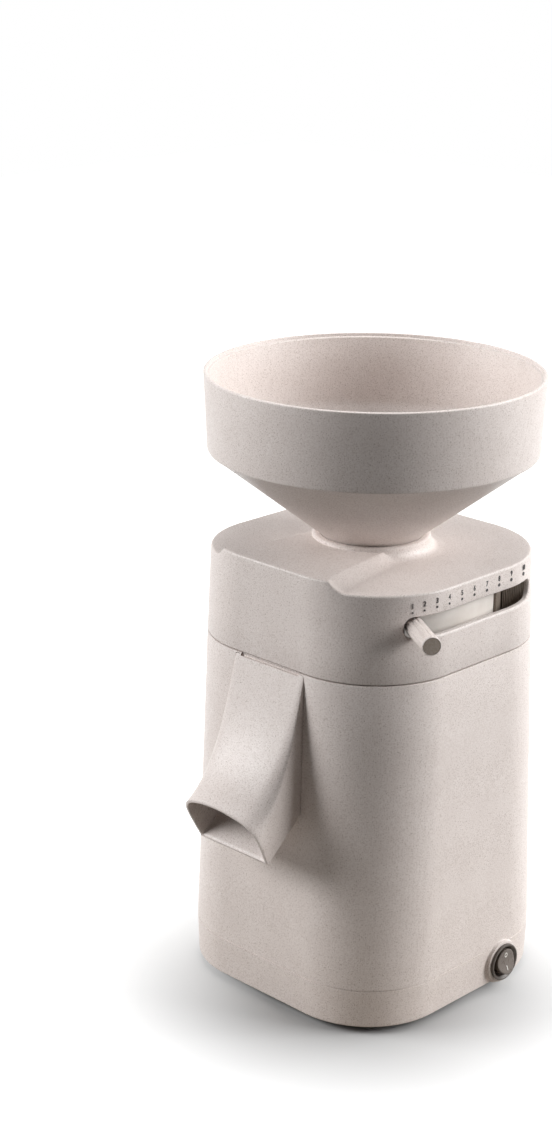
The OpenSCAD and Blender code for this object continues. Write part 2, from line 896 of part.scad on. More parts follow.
module capacitor() {
    color([0.75, 0.76, 0.78])
        translate([-cap_at, cap_at, base_top_z]) {
            cylinder(h = cap_h - cap_bevel, r = cap_r, $fn = 64);
            translate([0, 0, cap_h - cap_bevel - sliver])
                cylinder(h = cap_bevel, r1 = cap_r, r2 = cap_r - cap_bevel, $fn = 64);
            for (x = [-cap_r / 3, cap_r / 3])
                translate([x - tab_t / 2, -tab_w / 2, cap_h - cut])
                    cube([tab_t, tab_w, tab_h + cut]);
        }
}

// Round switch: bezel, barrel with the rocker's recess, contact box and two tabs
module switch_body() {
    box_x = bezel_x - barrel_depth - switch_box[0];
    color([0.20, 0.19, 0.18])
        translate([0, switch_y, switch_z]) {
            difference() {
                union() {
                    translate([switch_face_x - sliver, 0, 0])
                        rotate([0, 90, 0])
                            cylinder(h = bezel_t - bezel_edge + sliver, r = bezel_d / 2, $fn = 96);
                    translate([bezel_x - bezel_edge - sliver, 0, 0])
                        rotate([0, 90, 0])
                            cylinder(h = bezel_edge + sliver, r1 = bezel_d / 2, r2 = bezel_d / 2 - bezel_edge,
                                     $fn = 96);
                    translate([bezel_x - barrel_depth, 0, 0])
                        rotate([0, 90, 0])
                            cylinder(h = barrel_depth - bezel_t / 2, r = barrel_r, $fn = 96);
                    translate([box_x, -switch_box[1] / 2, -switch_box[2] / 2])
                        cube(switch_box + [cut, 0, 0]);
                }
                translate([rocker_pivot_x - recess_under, 0, 0])
                    rotate([0, 90, 0])
                        cylinder(h = barrel_depth, r = recess_r, $fn = 96);
                translate([rocker_pivot_x, switch_r, 0])
                    rotate([90, 0, 0])
                        cylinder(h = 2 * switch_r, r = rocker_pin_r + run_fit, $fn = 32);
            }
            for (z = [-switch_box[2] / 4, switch_box[2] / 4])
                translate([box_x - tab_h, -tab_w / 2, z - tab_t / 2])
                    cube([tab_h + cut, tab_w, tab_t]);
        }
}

// Rocker in its off position: its upper half is pressed in
module switch_rocker() {
    face = 5.6;
    dip = 1.6;
    back = 3;
    pin_half = barrel_r - move_gap;
    color([0.27, 0.25, 0.24])
        translate([rocker_pivot_x, switch_y, switch_z])
            rotate([0, -rocker_tilt, 0]) {
                intersection() {
                    translate([-back, 0, 0])
                        rotate([0, 90, 0])
                            cylinder(h = back + face + 2 * dip, r = rocker_r, $fn = 96);
                    translate([0, rocker_r, 0])
                        rotate([90, 0, 0])
                            cylinder(h = 2 * rocker_r, r = rocker_swing_r, $fn = 96);
                    translate([0, rocker_r, 0])
                        rotate([90, 0, 0])
                            linear_extrude(2 * rocker_r)
                                polygon([[-back, -switch_r], [face + dip, -switch_r], [face, 0],
                                         [face + dip, switch_r], [-back, switch_r]]);
                }
                translate([0, pin_half, 0])
                    rotate([90, 0, 0])
                        cylinder(h = 2 * pin_half, r = rocker_pin_r, $fn = 32);
            }
}

// Steel plate that carries motor and mill, open in front for the outlet duct
module motor_plate() {
    inset = wall + 1;
    open_gap = 1;
    open_w = duct_w + 2 * (duct_wall + open_gap);
    shaft_gap = 5;
    color([0.66, 0.67, 0.69])
        difference() {
            translate([0, 0, plate_z])
                linear_extrude(plate_t)
                    polygon(rounded_square(half_at(plate_top_z) - inset, corner_at(plate_top_z) - inset));
            translate([-open_w / 2, -2 * seam_w, plate_z - cut])
                cube([open_w, 2 * seam_w - chamber_r, plate_t + 2 * cut]);
            translate([0, 0, plate_z - cut])
                cylinder(h = plate_t + 2 * cut, r = shaft_r + shaft_gap, $fn = 64);
            four_corners()
                translate([post_x, post_y, plate_z - cut])
                    cylinder(h = plate_t + 2 * cut, r = screw_r + hole_fit, $fn = 32);
            for (turn = [45:90:315])
                rotate([0, 0, turn]) {
                    translate([chamber_screw_r, 0, plate_z - cut])
                        cylinder(h = plate_t + 2 * cut, r = screw_r + hole_fit, $fn = 32);
                    translate([shield_screw_r, 0, plate_z - cut])
                        cylinder(h = plate_t + 2 * cut, r = screw_r + hole_fit, $fn = 32);
                }
        }
}

module plate_bushes() {
    color([0.10, 0.10, 0.10])
        four_corners()
            translate([post_x, post_y, post_top_z])
                ring(bush_r, screw_r + hole_fit, bush_h, 48);
}

module plate_screws() {
    color([0.72, 0.72, 0.74])
        four_corners()
            translate([post_x, post_y, plate_top_z])
                screw(plate_t + bush_h + post_grip);
}

// Turned half section of an end shield: rim on the stack, sloped wall, neck disc and bearing seat
module end_shield(high, bearing_r, bearing_h, hole_r) {
    rim_h = 6;
    neck_z = high - shield_wall;
    rotate_extrude($fn = 128)
        polygon([[motor_r, 0], [motor_r, rim_h], [shield_neck_r, neck_z], [shield_neck_r, high],
                 [hole_r, high], [hole_r, neck_z], [bearing_r, neck_z], [bearing_r, neck_z - bearing_h],
                 [bearing_r + bearing_wall, neck_z - bearing_h], [bearing_r + bearing_wall, neck_z],
                 [shield_neck_r - shield_wall, neck_z], [motor_r - shield_wall, rim_h - 1],
                 [motor_r - 1.5 * shield_wall, 0]]);
}

module upper_end_shield() {
    color([0.70, 0.71, 0.73])
        difference() {
            translate([0, 0, stack_top_z])
                end_shield(upper_shield_h, upper_bearing_r, upper_bearing_h, shaft_r + 2);
            for (turn = [45:90:315])
                rotate([0, 0, turn]) {
                    translate([shield_screw_r, 0, shield_top_z - shield_wall - cut])
                        cylinder(h = shield_wall + 2 * cut, r = screw_r + hole_fit, $fn = 32);
                    translate([tie_at_r, 0, stack_top_z - cut])
                        cylinder(h = shield_hole_h, r = tie_r + hole_fit, $fn = 32);
                }
        }
}

module lower_end_shield() {
    vents = 12;
    vent_r = 4;
    vent_at_r = lower_bearing_r + bearing_wall + 2 * vent_r + 1.5;
    color([0.70, 0.71, 0.73])
        difference() {
            translate([0, 0, stack_z])
                mirror([0, 0, 1])
                    end_shield(lower_shield_h, lower_bearing_r, lower_bearing_h, shaft_low_r + 2);
            for (i = [0:vents - 1])
                rotate([0, 0, (i + 0.5) * 360 / vents])
                    translate([vent_at_r, 0, shield_z - cut])
                        cylinder(h = shield_wall + 2 * cut, r = vent_r, $fn = 32);
            for (turn = [45:90:315])
                rotate([0, 0, turn])
                    translate([tie_at_r, 0, stack_z - shield_hole_h])
                        cylinder(h = shield_hole_h + cut, r = tie_r + hole_fit, $fn = 32);
        }
}

module shield_screws() {
    short = 0.5;
    color([0.72, 0.72, 0.74])
        for (turn = [45:90:315])
            rotate([0, 0, turn])
                translate([shield_screw_r, 0, plate_top_z])
                    screw(plate_t + shield_wall - short);
}

// Laminated stack with a narrow mouth and a wide slot for each coil side
module stator_core() {
    color([0.45, 0.46, 0.48])
        difference() {
            translate([0, 0, stack_z])
                ring(motor_r, rotor_r + air_gap, stack_h, 128);
            for (i = [0:stator_slots - 1])
                rotate([0, 0, i * 360 / stator_slots])
                    translate([0, 0, stack_z - cut]) {
                        translate([coil_in_r - hole_fit, -coil_w / 2 - hole_fit, 0])
                            cube([coil_out_r - coil_in_r + 2 * hole_fit, coil_w + 2 * hole_fit,
                                  stack_h + 2 * cut]);
                        translate([rotor_r, -slot_mouth / 2, 0])
                            cube([coil_in_r - rotor_r, slot_mouth, stack_h + 2 * cut]);
                    }
            for (turn = [45:90:315])
                rotate([0, 0, turn])
                    translate([tie_at_r, 0, stack_z - cut])
                        cylinder(h = stack_h + 2 * cut, r = tie_r + hole_fit, $fn = 32);
        }
}

// Windings: a coil side in each slot and a rounded ring of end turns on each face of the stack
module windings() {
    high = 9;
    round_r = 3;
    color([0.72, 0.42, 0.20])
        union() {
            for (face = [0, 1])
                translate([0, 0, face == 0 ? stack_top_z : stack_z])
                    mirror([0, 0, face])
                        rotate_extrude($fn = 96) {
                            translate([coil_in_r, 0])
                                square([coil_out_r - coil_in_r, high - round_r]);
                            translate([coil_in_r + round_r, 0])
                                square([coil_out_r - coil_in_r - 2 * round_r, high]);
                            for (x = [coil_in_r + round_r, coil_out_r - round_r])
                                translate([x, high - round_r])
                                    circle(r = round_r, $fn = 32);
                        }
            for (i = [0:stator_slots - 1])
                rotate([0, 0, i * 360 / stator_slots])
                    translate([coil_in_r + hole_fit, -coil_w / 2, stack_z - cut])
                        cube([coil_out_r - coil_in_r - 2 * hole_fit, coil_w, stack_h + 2 * cut]);
        }
}

module tie_bolts() {
    color([0.72, 0.72, 0.74])
        for (turn = [45:90:315])
            rotate([0, 0, turn])
                translate([tie_at_r, 0, stack_z - tie_reach])
                    cylinder(h = stack_h + 2 * tie_reach, r = tie_r, $fn = 32);
}

// Ball bearing with a groove in each face between its two rings
module ball_bearing(out_r, in_r, high) {
    groove = 0.8;
    land = (out_r - in_r) * 0.3;
    rotate_extrude($fn = 96)
        difference() {
            translate([in_r, 0])
                square([out_r - in_r, high]);
            for (z = [-cut, high - groove])
                translate([in_r + land, z])
                    square([out_r - in_r - 2 * land, groove + cut]);
        }
}

module upper_bearing() {
    color([0.80, 0.81, 0.83])
        translate([0, 0, upper_bearing_z])
            ball_bearing(upper_bearing_r, shaft_r + run_fit, upper_bearing_h);
}

module lower_bearing() {
    color([0.80, 0.81, 0.83])
        translate([0, 0, lower_bearing_z])
            ball_bearing(lower_bearing_r, shaft_low_r + run_fit, lower_bearing_h);
}

// Stepped shaft: fan end, lower journal, rotor seat, upper journal and the tip for the stone carrier
module motor_shaft() {
    seat_low_z = lower_bearing_z + lower_bearing_h + 2;
    seat_top_z = upper_bearing_z - 2;
    tip_top_z = hub_z + hub_h + stone_nut_h - 1;
    color([0.78, 0.79, 0.81])
        union() {
            translate([0, 0, fan_z - shaft_end])
                cylinder(h = seat_low_z - fan_z + shaft_end + sliver, r = shaft_low_r, $fn = 64);
            translate([0, 0, seat_low_z])
                cylinder(h = seat_top_z - seat_low_z + sliver, r = shaft_mid_r, $fn = 64);
            translate([0, 0, seat_top_z])
                cylinder(h = hub_z - seat_top_z, r = shaft_r, $fn = 64);
            translate([0, 0, hub_z - sliver])
                cylinder(h = tip_top_z - hub_z, r = shaft_tip_r, $fn = 64);
        }
}

module rotor_core() {
    end_ring_h = 5;
    end_ring_w = 6;
    end_ring_r = rotor_r - 3;
    sleeve = 3;
    color([0.55, 0.56, 0.58])
        difference() {
            union() {
                translate([0, 0, stack_z])
                    cylinder(h = stack_h, r = rotor_r, $fn = 128);
                translate([0, 0, stack_z - end_ring_h])
                    cylinder(h = stack_h + 2 * end_ring_h, r = end_ring_r, $fn = 96);
            }
            translate([0, 0, stack_z - 2 * end_ring_h])
                cylinder(h = stack_h + 4 * end_ring_h, r = shaft_mid_r, $fn = 64);
            for (side = [0, 1])
                translate([0, 0, side == 0 ? stack_z - end_ring_h - cut : stack_top_z])
                    ring(end_ring_r - end_ring_w, shaft_mid_r + sleeve, end_ring_h + cut);
        }
}

module cooling_fan() {
    blade_t = 1.6;
    color([0.16, 0.16, 0.17])
        translate([0, 0, fan_z])
            difference() {
                union() {
                    translate([0, 0, fan_h - fan_disc_t])
                        cylinder(h = fan_disc_t, r = fan_d / 2, $fn = 96);
                    cylinder(h = fan_h, r = fan_hub_r, $fn = 48);
                    for (i = [0:fan_blades - 1])
                        rotate([0, 0, i * 360 / fan_blades])
                            translate([fan_hub_r - 1, -blade_t / 2, 0])
                                cube([fan_d / 2 - fan_hub_r, blade_t, fan_h - fan_disc_t + sliver]);
                }
                translate([0, 0, -cut])
                    cylinder(h = fan_h + 2 * cut, r = shaft_low_r, $fn = 64);
            }
}

// Side outline of the outlet duct; grow is its wall
module duct_block(grow, in_y, out_y) {
    roof_z = floor_z + outlet_h;
    rotate([90, 0, 90])
        translate([0, 0, -duct_w / 2 - grow])
            linear_extrude(duct_w + 2 * grow)
                polygon([[in_y, chute_z(in_y) - grow], [in_y, roof_z + grow],
                         [out_y, roof_z + grow], [out_y, chute_z(out_y) - grow]]);
}

// Cast chamber: foot and flange on the motor plate, floor, wall with keyways, duct and keeper pillars
module milling_chamber() {
    duct_end_y = max(-half_at(floor_z + outlet_h + duct_wall), root[0]) + wall + set_gap;
    duct_lap = 0.5;
    duct_in = 6;
    color([0.74, 0.75, 0.76])
        difference() {
            union() {
                translate([0, 0, plate_top_z])
                    ring(chamber_flange_r, foot_ring_in_r, chamber_flange_t, 128);
                translate([0, 0, plate_top_z])
                    ring(chamber_out_r, foot_ring_in_r, chamber_foot_h + sliver, 128);
                translate([0, 0, floor_under_z])
                    cylinder(h = floor_t, r = chamber_out_r, $fn = 128);
                translate([0, 0, floor_z - sliver])
                    ring(chamber_out_r, chamber_r, rim_z - floor_z + sliver, 128);
                translate([0, 0, pillar_flange_z])
                    ring(pillar_flange_r, chamber_r + 1, pillar_flange_t, 128);
                for (turn = pillar_angles)
                    rotate([0, 0, turn])
                        translate([pillar_at_r, 0, pillar_flange_z])
                            cylinder(h = keeper_z - pillar_flange_z, r = pillar_r, $fn = 48);
                difference() {
                    duct_block(duct_wall, -foot_ring_in_r - 1, duct_end_y);
                    translate([0, 0, bottom_z])
                        cylinder(h = top_z, r = chamber_r + duct_lap, $fn = 128);
                }
            }
            duct_block(0, -chamber_r + duct_in, duct_end_y - cut);
            translate([0, 0, floor_under_z - cut])
                cylinder(h = floor_t + 2 * cut, r = seal_r, $fn = 64);
            for (turn = lug_angles)
                rotate([0, 0, turn])
                    translate([chamber_r - cut, -lug_w / 2 - move_gap, holder_z - keyway_deep])
                        cube([chamber_wall + cut - keyway_skin, lug_w + 2 * move_gap,
                              rim_z - holder_z + keyway_deep + cut]);
            for (turn = [45:90:315])
                rotate([0, 0, turn])
                    translate([chamber_screw_r, 0, plate_top_z - cut])
                        cylinder(h = chamber_flange_t + 2 * cut, r = screw_r + hole_fit, $fn = 32);
            for (turn = pillar_angles)
                rotate([0, 0, turn])
                    translate([pillar_at_r, 0, keeper_z - keeper_grip - 2 * cut])
                        cylinder(h = keeper_grip + 3 * cut, r = keeper_screw_r + hole_fit, $fn = 24);
        }
}

module chamber_screws() {
    color([0.72, 0.72, 0.74])
        for (turn = [45:90:315])
            rotate([0, 0, turn])
                translate([chamber_screw_r, 0, plate_top_z + chamber_flange_t])
                    screw(chamber_flange_t + plate_t + 1);
}

module shaft_seal() {
    color([0.55, 0.50, 0.42])
        translate([0, 0, floor_under_z])
            ring(seal_r, shaft_r + run_fit, floor_t, 64);
}

// Disc with hub and wipers that carries the lower stone
module lower_stone_carrier() {
    wiper_t = 3;
    step_h = 1.4;
    step_r = seal_r + 1;
    disc_r = stone_r - 4;
    color([0.60, 0.61, 0.63])
        difference() {
            union() {
                translate([0, 0, disc_z])
                    cylinder(h = carrier_t, r = disc_r, $fn = 96);
                translate([0, 0, hub_z])
                    cylinder(h = hub_h, r = hub_r, $fn = 64);
                for (i = [0:wipers - 1])
                    rotate([0, 0, i * 360 / wipers])
                        translate([hub_r - cut, -wiper_t / 2, floor_z + wiper_gap + step_h])
                            cube([disc_r - hub_r, wiper_t, wiper_h - step_h + sliver]);
                for (i = [0:wipers - 1])
                    rotate([0, 0, i * 360 / wipers])
                        translate([step_r, -wiper_t / 2, floor_z + wiper_gap])
                            cube([chamber_r - wiper_gap - step_r, wiper_t, wiper_h - step_h]);
            }
            translate([0, 0, hub_z - cut])
                cylinder(h = hub_h + 2 * cut, r = shaft_tip_r, $fn = 64);
        }
}

// Furrows of a grinding face, cut up from z = 0, all set off from the middle to one side
module furrow_set() {
    set_off = eye_r / 2;
    lean = 12;
    land = 6;
    for (i = [0:furrows - 1])
        rotate([0, 0, i * 360 / furrows])
            translate([0, set_off, 0])
                rotate([0, 0, lean])
                    translate([set_off, -furrow_w / 2, -cut])
                        cube([stone_r - 2 * set_off - land, furrow_w, furrow_depth + cut]);
}

module lower_stone() {
    dish = 3;
    color([0.80, 0.78, 0.74])
        translate([0, 0, lower_stone_z])
            difference() {
                cylinder(h = lower_stone_h, r = stone_r, $fn = 128);
                translate([0, 0, -cut])
                    cylinder(h = lower_stone_h + 2 * cut, r = hub_r + hole_fit, $fn = 64);
                translate([0, 0, lower_stone_h - dish])
                    cylinder(h = dish + sliver, r1 = eye_r - 2, r2 = dish_r, $fn = 96);
                translate([0, 0, lower_stone_h])
                    mirror([0, 0, 1])
                        furrow_set();
            }
}

// Hexagon nut with a feed cone on the shaft's tip
module stone_nut() {
    nut_r = stone_nut_af / 2 / cos(30);
    cone_h = 6;
    cone_tip_r = 3;
    color([0.78, 0.79, 0.81])
        translate([0, 0, hub_z + hub_h])
            difference() {
                union() {
                    cylinder(h = stone_nut_h, r = nut_r, $fn = 6);
                    translate([0, 0, stone_nut_h - sliver])
                        cylinder(h = cone_h, r1 = stone_nut_af / 2 - cut, r2 = cone_tip_r, $fn = 48);
                }
                translate([0, 0, -cut])
                    cylinder(h = stone_nut_h + cut, r = shaft_tip_r, $fn = 64);
            }
}

module upper_stone() {
    dish = 5;
    color([0.80, 0.78, 0.74])
        translate([0, 0, upper_stone_z])
            difference() {
                cylinder(h = upper_stone_h, r = stone_r, $fn = 128);
                translate([0, 0, -cut])
                    cylinder(h = upper_stone_h + 2 * cut, r = eye_r, $fn = 96);
                translate([0, 0, -sliver])
                    cylinder(h = dish, r1 = dish_r, r2 = eye_r, $fn = 96);
                furrow_set();
            }
}

// Cup that holds the upper stone, its threaded neck, keying lugs and the feed funnel
module upper_stone_carrier() {
    neck_top_z = ring_top_z;
    skirt_in_r = stone_r + hole_fit;
    throat_r = eye_r + 1;
    color([0.86, 0.85, 0.82])
        union() {
            rotate_extrude($fn = 128)
                polygon([[throat_r, holder_z], [skirt_in_r, holder_z],
                         [skirt_in_r, holder_z - holder_skirt_h], [holder_r, holder_z - holder_skirt_h],
                         [holder_r, holder_z + holder_t], [thread_r, holder_z + holder_t],
                         [thread_r, neck_top_z], [neck_in_r, neck_top_z], [neck_in_r, holder_z + holder_t],
                         [throat_r + funnel_wall + 1, holder_z + holder_t],
                         [funnel_r + funnel_wall, funnel_top_z], [funnel_r, funnel_top_z],
                         [throat_r, holder_z + holder_t]]);
            for (turn = lug_angles)
                rotate([0, 0, turn])
                    translate([holder_r - 1, -lug_w / 2, holder_z])
                        cube([lug_r - holder_r + 1, lug_w, holder_t]);
        }
}

// Ring with the running skirt around the chamber, the lever's socket and the shutter behind the slot
module adjusting_ring() {
    shutter_h = slot_h + 2 * shutter_over;
    socket_z0 = slot_z - arm_d;
    color([0.90, 0.89, 0.86])
        difference() {
            union() {
                translate([0, 0, ring_z])
                    ring(ring_r, thread_r + run_fit, ring_h, 128);
                translate([0, 0, ring_z - ring_skirt_h])
                    ring(ring_r, chamber_out_r + run_fit, ring_skirt_h + sliver, 128);
                translate([0, 0, slot_z - arm_d / 2 - shutter_plate_t])
                    rotate([0, 0, shutter_from])
                        rotate_extrude(angle = shutter_to - shutter_from, $fn = 128)
                            translate([ring_r - 2, 0])
                                square([shutter_r - ring_r + 2, shutter_plate_t]);
                translate([0, 0, slot_z - shutter_h / 2])
                    rotate([0, 0, shutter_from])
                        rotate_extrude(angle = shutter_to - shutter_from, $fn = 128)
                            translate([shutter_r - shutter_t, 0])
                                square([shutter_t, shutter_h]);
                rotate([0, 0, lever_rest])
                    translate([ring_r - 2, -arm_d, socket_z0])
                        cube([shutter_r - ring_r + 2, 2 * arm_d, ring_top_z - socket_z0]);
            }
            translate([0, 0, slot_z])
                rotate([0, 90, lever_rest])
                    translate([0, 0, arm_in_r])
                        cylinder(h = knob_out_r, r = arm_d / 2, $fn = 48);
        }
}

module lever_arm() {
    color([0.78, 0.79, 0.81])
        translate([0, 0, slot_z])
            rotate([0, 90, lever_rest])
                translate([0, 0, arm_in_r])
                    cylinder(h = knob_out_r - knob_end - arm_in_r, r = arm_d / 2, $fn = 48);
}

// Fluted knob with a rounded end
module lever_knob() {
    flutes = 12;
    knob_r = knob_d / 2;
    length = knob_out_r - knob_in_r;
    edge = 1;
    flute_r = 0.8;
    color([0.88, 0.86, 0.82])
        translate([0, 0, slot_z])
            rotate([0, 90, lever_rest])
                translate([0, 0, knob_in_r])
                    difference() {
                        union() {
                            cylinder(h = length - edge, r = knob_r, $fn = 64);
                            translate([0, 0, length - edge - sliver])
                                cylinder(h = edge + sliver, r1 = knob_r, r2 = knob_r - edge, $fn = 64);
                        }
                        translate([0, 0, -cut])
                            cylinder(h = length - knob_end + cut, r = arm_d / 2, $fn = 48);
                        for (i = [0:flutes - 1])
                            rotate([0, 0, i * 360 / flutes])
                                translate([knob_r + flute_r / 2, 0, -cut])
                                    cylinder(h = length + 2 * cut, r = flute_r, $fn = 16);
                    }
}

// Steel ring with an ear on each pillar, which holds the adjusting ring down
module ring_keeper() {
    in_r = thread_r + 2;
    ear_r = pillar_r + pillar_edge;
    color([0.70, 0.71, 0.73])
        translate([0, 0, keeper_z])
            difference() {
                union() {
                    ring(ring_r + keeper_lap, in_r, keeper_t, 128);
                    for (turn = pillar_angles)
                        rotate([0, 0, turn]) {
                            translate([in_r + ear_r, -ear_r, 0])
                                cube([pillar_at_r - in_r - ear_r, 2 * ear_r, keeper_t]);
                            translate([pillar_at_r, 0, 0])
                                cylinder(h = keeper_t, r = ear_r, $fn = 48);
                        }
                }
                for (turn = pillar_angles)
                    rotate([0, 0, turn])
                        translate([pillar_at_r, 0, -cut])
                            cylinder(h = keeper_t + 2 * cut, r = keeper_screw_r + hole_fit, $fn = 24);
            }
}

module keeper_screws() {
    color([0.72, 0.72, 0.74])
        for (turn = pillar_angles)
            rotate([0, 0, turn])
                translate([pillar_at_r, 0, keeper_z + keeper_t])
                    screw(keeper_t + keeper_grip, keeper_screw_r, 2 * keeper_screw_r, keeper_t);
}

body_housing();
flour_spout();
top_cover();
hopper();
base_plate();
rubber_feet();
base_screws();
cord_gland();
gland_nut();
terminal_block();
capacitor();
switch_body();
switch_rocker();
motor_plate();
plate_bushes();
plate_screws();
upper_end_shield();
lower_end_shield();
shield_screws();
stator_core();
windings();
tie_bolts();
upper_bearing();
lower_bearing();
motor_shaft();
rotor_core();
cooling_fan();
milling_chamber();
chamber_screws();
shaft_seal();
lower_stone_carrier();
lower_stone();
stone_nut();
upper_stone();
upper_stone_carrier();
adjusting_ring();
lever_arm();
lever_knob();
ring_keeper();
keeper_screws();
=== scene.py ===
import math

import bmesh
import bpy
from mathutils import Matrix, Vector


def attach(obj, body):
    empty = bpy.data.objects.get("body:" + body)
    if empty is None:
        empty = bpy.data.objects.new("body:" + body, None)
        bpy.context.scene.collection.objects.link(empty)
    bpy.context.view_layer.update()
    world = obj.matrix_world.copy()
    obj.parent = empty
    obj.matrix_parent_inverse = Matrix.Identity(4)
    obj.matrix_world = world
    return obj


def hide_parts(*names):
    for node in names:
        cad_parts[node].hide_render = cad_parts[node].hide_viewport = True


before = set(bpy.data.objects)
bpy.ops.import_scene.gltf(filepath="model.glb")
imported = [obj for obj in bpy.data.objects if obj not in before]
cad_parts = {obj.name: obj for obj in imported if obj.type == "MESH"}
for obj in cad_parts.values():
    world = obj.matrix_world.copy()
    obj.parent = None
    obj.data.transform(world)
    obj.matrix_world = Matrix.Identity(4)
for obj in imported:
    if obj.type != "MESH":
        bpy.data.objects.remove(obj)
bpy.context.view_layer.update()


# Body housing: one injection moulding of speckled bioplastic, a rounded square that leans inwards
# above a fine crease. The cover's tongue sits in its top, and the flour spout in a pocket in front.

def ring_by_ring(name, rings, joined=False):
    """Adds a circle, lays its corners on the first ring and extrudes it on to each ring after that.
    Rings are in millimetres. Both ends get a face, or are joined to each other."""
    bpy.ops.object.select_all(action="DESELECT")
    bpy.ops.mesh.primitive_circle_add(vertices=len(rings[0]))
    piece = bpy.context.object
    piece.name = name
    bpy.ops.object.mode_set(mode="EDIT")
    start = list(range(len(rings[0])))
    end = start
    for step, ring in enumerate(rings):
        if step:
            bpy.ops.mesh.extrude_edges_move()
        shape = bmesh.from_edit_mesh(piece.data)
        shape.verts.ensure_lookup_table()
        if step:
            shape.verts.index_update()
            end = [next(edge.other_vert(shape.verts[i]).index for edge in shape.verts[i].link_edges
                        if edge.other_vert(shape.verts[i]).select) for i in end]
        for i, point in zip(end, ring):
            shape.verts[i].co = Vector(point) / 1000

    def pick(corners):
        bpy.ops.mesh.select_all(action="DESELECT")
        shape = bmesh.from_edit_mesh(piece.data)
        shape.verts.ensure_lookup_table()
        for i in corners:
            shape.verts[i].select = True
        shape.select_flush(True)
        bmesh.update_edit_mesh(piece.data)

    bpy.ops.mesh.select_mode(type="VERT")
    if joined:
        pick(start + end)
        bpy.ops.mesh.bridge_edge_loops()
    else:
        for corners in (start, end):
            pick(corners)
            bpy.ops.mesh.edge_face_add()
    bpy.ops.mesh.select_all(action="SELECT")
    bpy.ops.mesh.normals_make_consistent(inside=False)
    bpy.ops.mesh.select_all(action="DESELECT")
    bpy.ops.object.mode_set(mode="OBJECT")
    return piece


def around(corners, first=0.0):
    """Even directions of a full turn, in radians; first moves them on by that part of a step."""
    return [2 * math.pi * (i + first) / corners for i in range(corners)]


def square_reach(half, radius, turn):
    """Distance from the mill's axis to the side of a rounded square, in one direction."""
    across, along = abs(math.cos(turn)), abs(math.sin(turn))
    reach = half / max(across, along)
    side = half - radius
    if reach * min(across, along) > side:
        to_centre = side * (across + along)
        reach = to_centre + math.sqrt(to_centre ** 2 - 2 * side ** 2 + radius ** 2)
    return reach


def square_ring(half, radius, high, corners=288):
    """A ring in the shape of a rounded square, its corners at even angles around the mill's axis."""
    points = []
    for turn in around(corners, 0.5):
        reach = square_reach(half, radius, turn)
        points.append((reach * math.cos(turn), reach * math.sin(turn), high))
    return points


def round_ring(radius, high, corners=96):
    """A round ring about the mill's axis."""
    return [(radius * math.cos(turn), radius * math.sin(turn), high) for turn in around(corners, 0.5)]


def select_only(*pieces):
    """Selects pieces and nothing else, and makes the first one active."""
    bpy.ops.object.select_all(action="DESELECT")
    for piece in pieces:
        piece.select_set(True)
    bpy.context.view_layer.objects.active = pieces[0]


def add_or_cut(piece, other, how):
    """Adds another closed shape to a piece (UNION), or takes it away (DIFFERENCE)."""
    select_only(piece)
    step = piece.modifiers.new("shape", "BOOLEAN")
    step.operation = how
    step.solver = "EXACT"
    step.object = other
    bpy.ops.object.modifier_apply(modifier=step.name)
    bpy.data.objects.remove(other)
    bpy.ops.object.mode_set(mode="EDIT")
    bpy.ops.mesh.select_all(action="SELECT")
    too_short = 0.000004
    bpy.ops.mesh.remove_doubles(threshold=too_short)
    bpy.ops.mesh.dissolve_degenerate(threshold=too_short)
    bpy.ops.mesh.select_all(action="DESELECT")
    bpy.ops.object.mode_set(mode="OBJECT")


def smooth(piece, crisp):
    """Smooth shading, with edges sharper than an angle in degrees left crisp."""
    select_only(piece)
    bpy.ops.object.shade_smooth_by_angle(angle=math.radians(crisp))


def between(value, low, high):
    """How far a value is from low to high, as 0 to 1."""
    return min(max((value - low) / (high - low), 0), 1)


def table(value, pairs):
    """Looks a value up between the pairs of a table."""
    for (low, at_low), (high, at_high) in zip(pairs, pairs[1:]):
        if value <= high:
            return at_low + (at_high - at_low) * between(value, low, high)
    return pairs[-1][1]


seam_high = 205.5


def housing_ring(high, inset):
    """A level ring of the housing's side, moved inwards by the inset."""
    half = table(high, [(4, 82.8), (27, 83.6), (seam_high, 80.3)])
    radius = table(high, [(4, 50), (27, 50.5), (seam_high, 53)])
    return square_ring(half - inset, radius - inset, high)


# Heights and insets: the lower edge, the crease, the side, the seam's edge and the wall's inside.
housing_profile = [(4, 0.9), (4.3, 0.3), (4.9, 0), (26.5, 0),
                   (26.75, 0.5), (27.2, 0.5), (27.4, 0),
                   (60, 0), (120, 0), (170, 0), (204.6, 0),
                   (205.0, 0.15), (205.2, 0.5), (205.2, 2.8),
                   (204.9, 3), (27, 3), (4, 3)]
mill_body = ring_by_ring("mill_body", [housing_ring(high, inset) for high, inset in housing_profile],
                         joined=True)


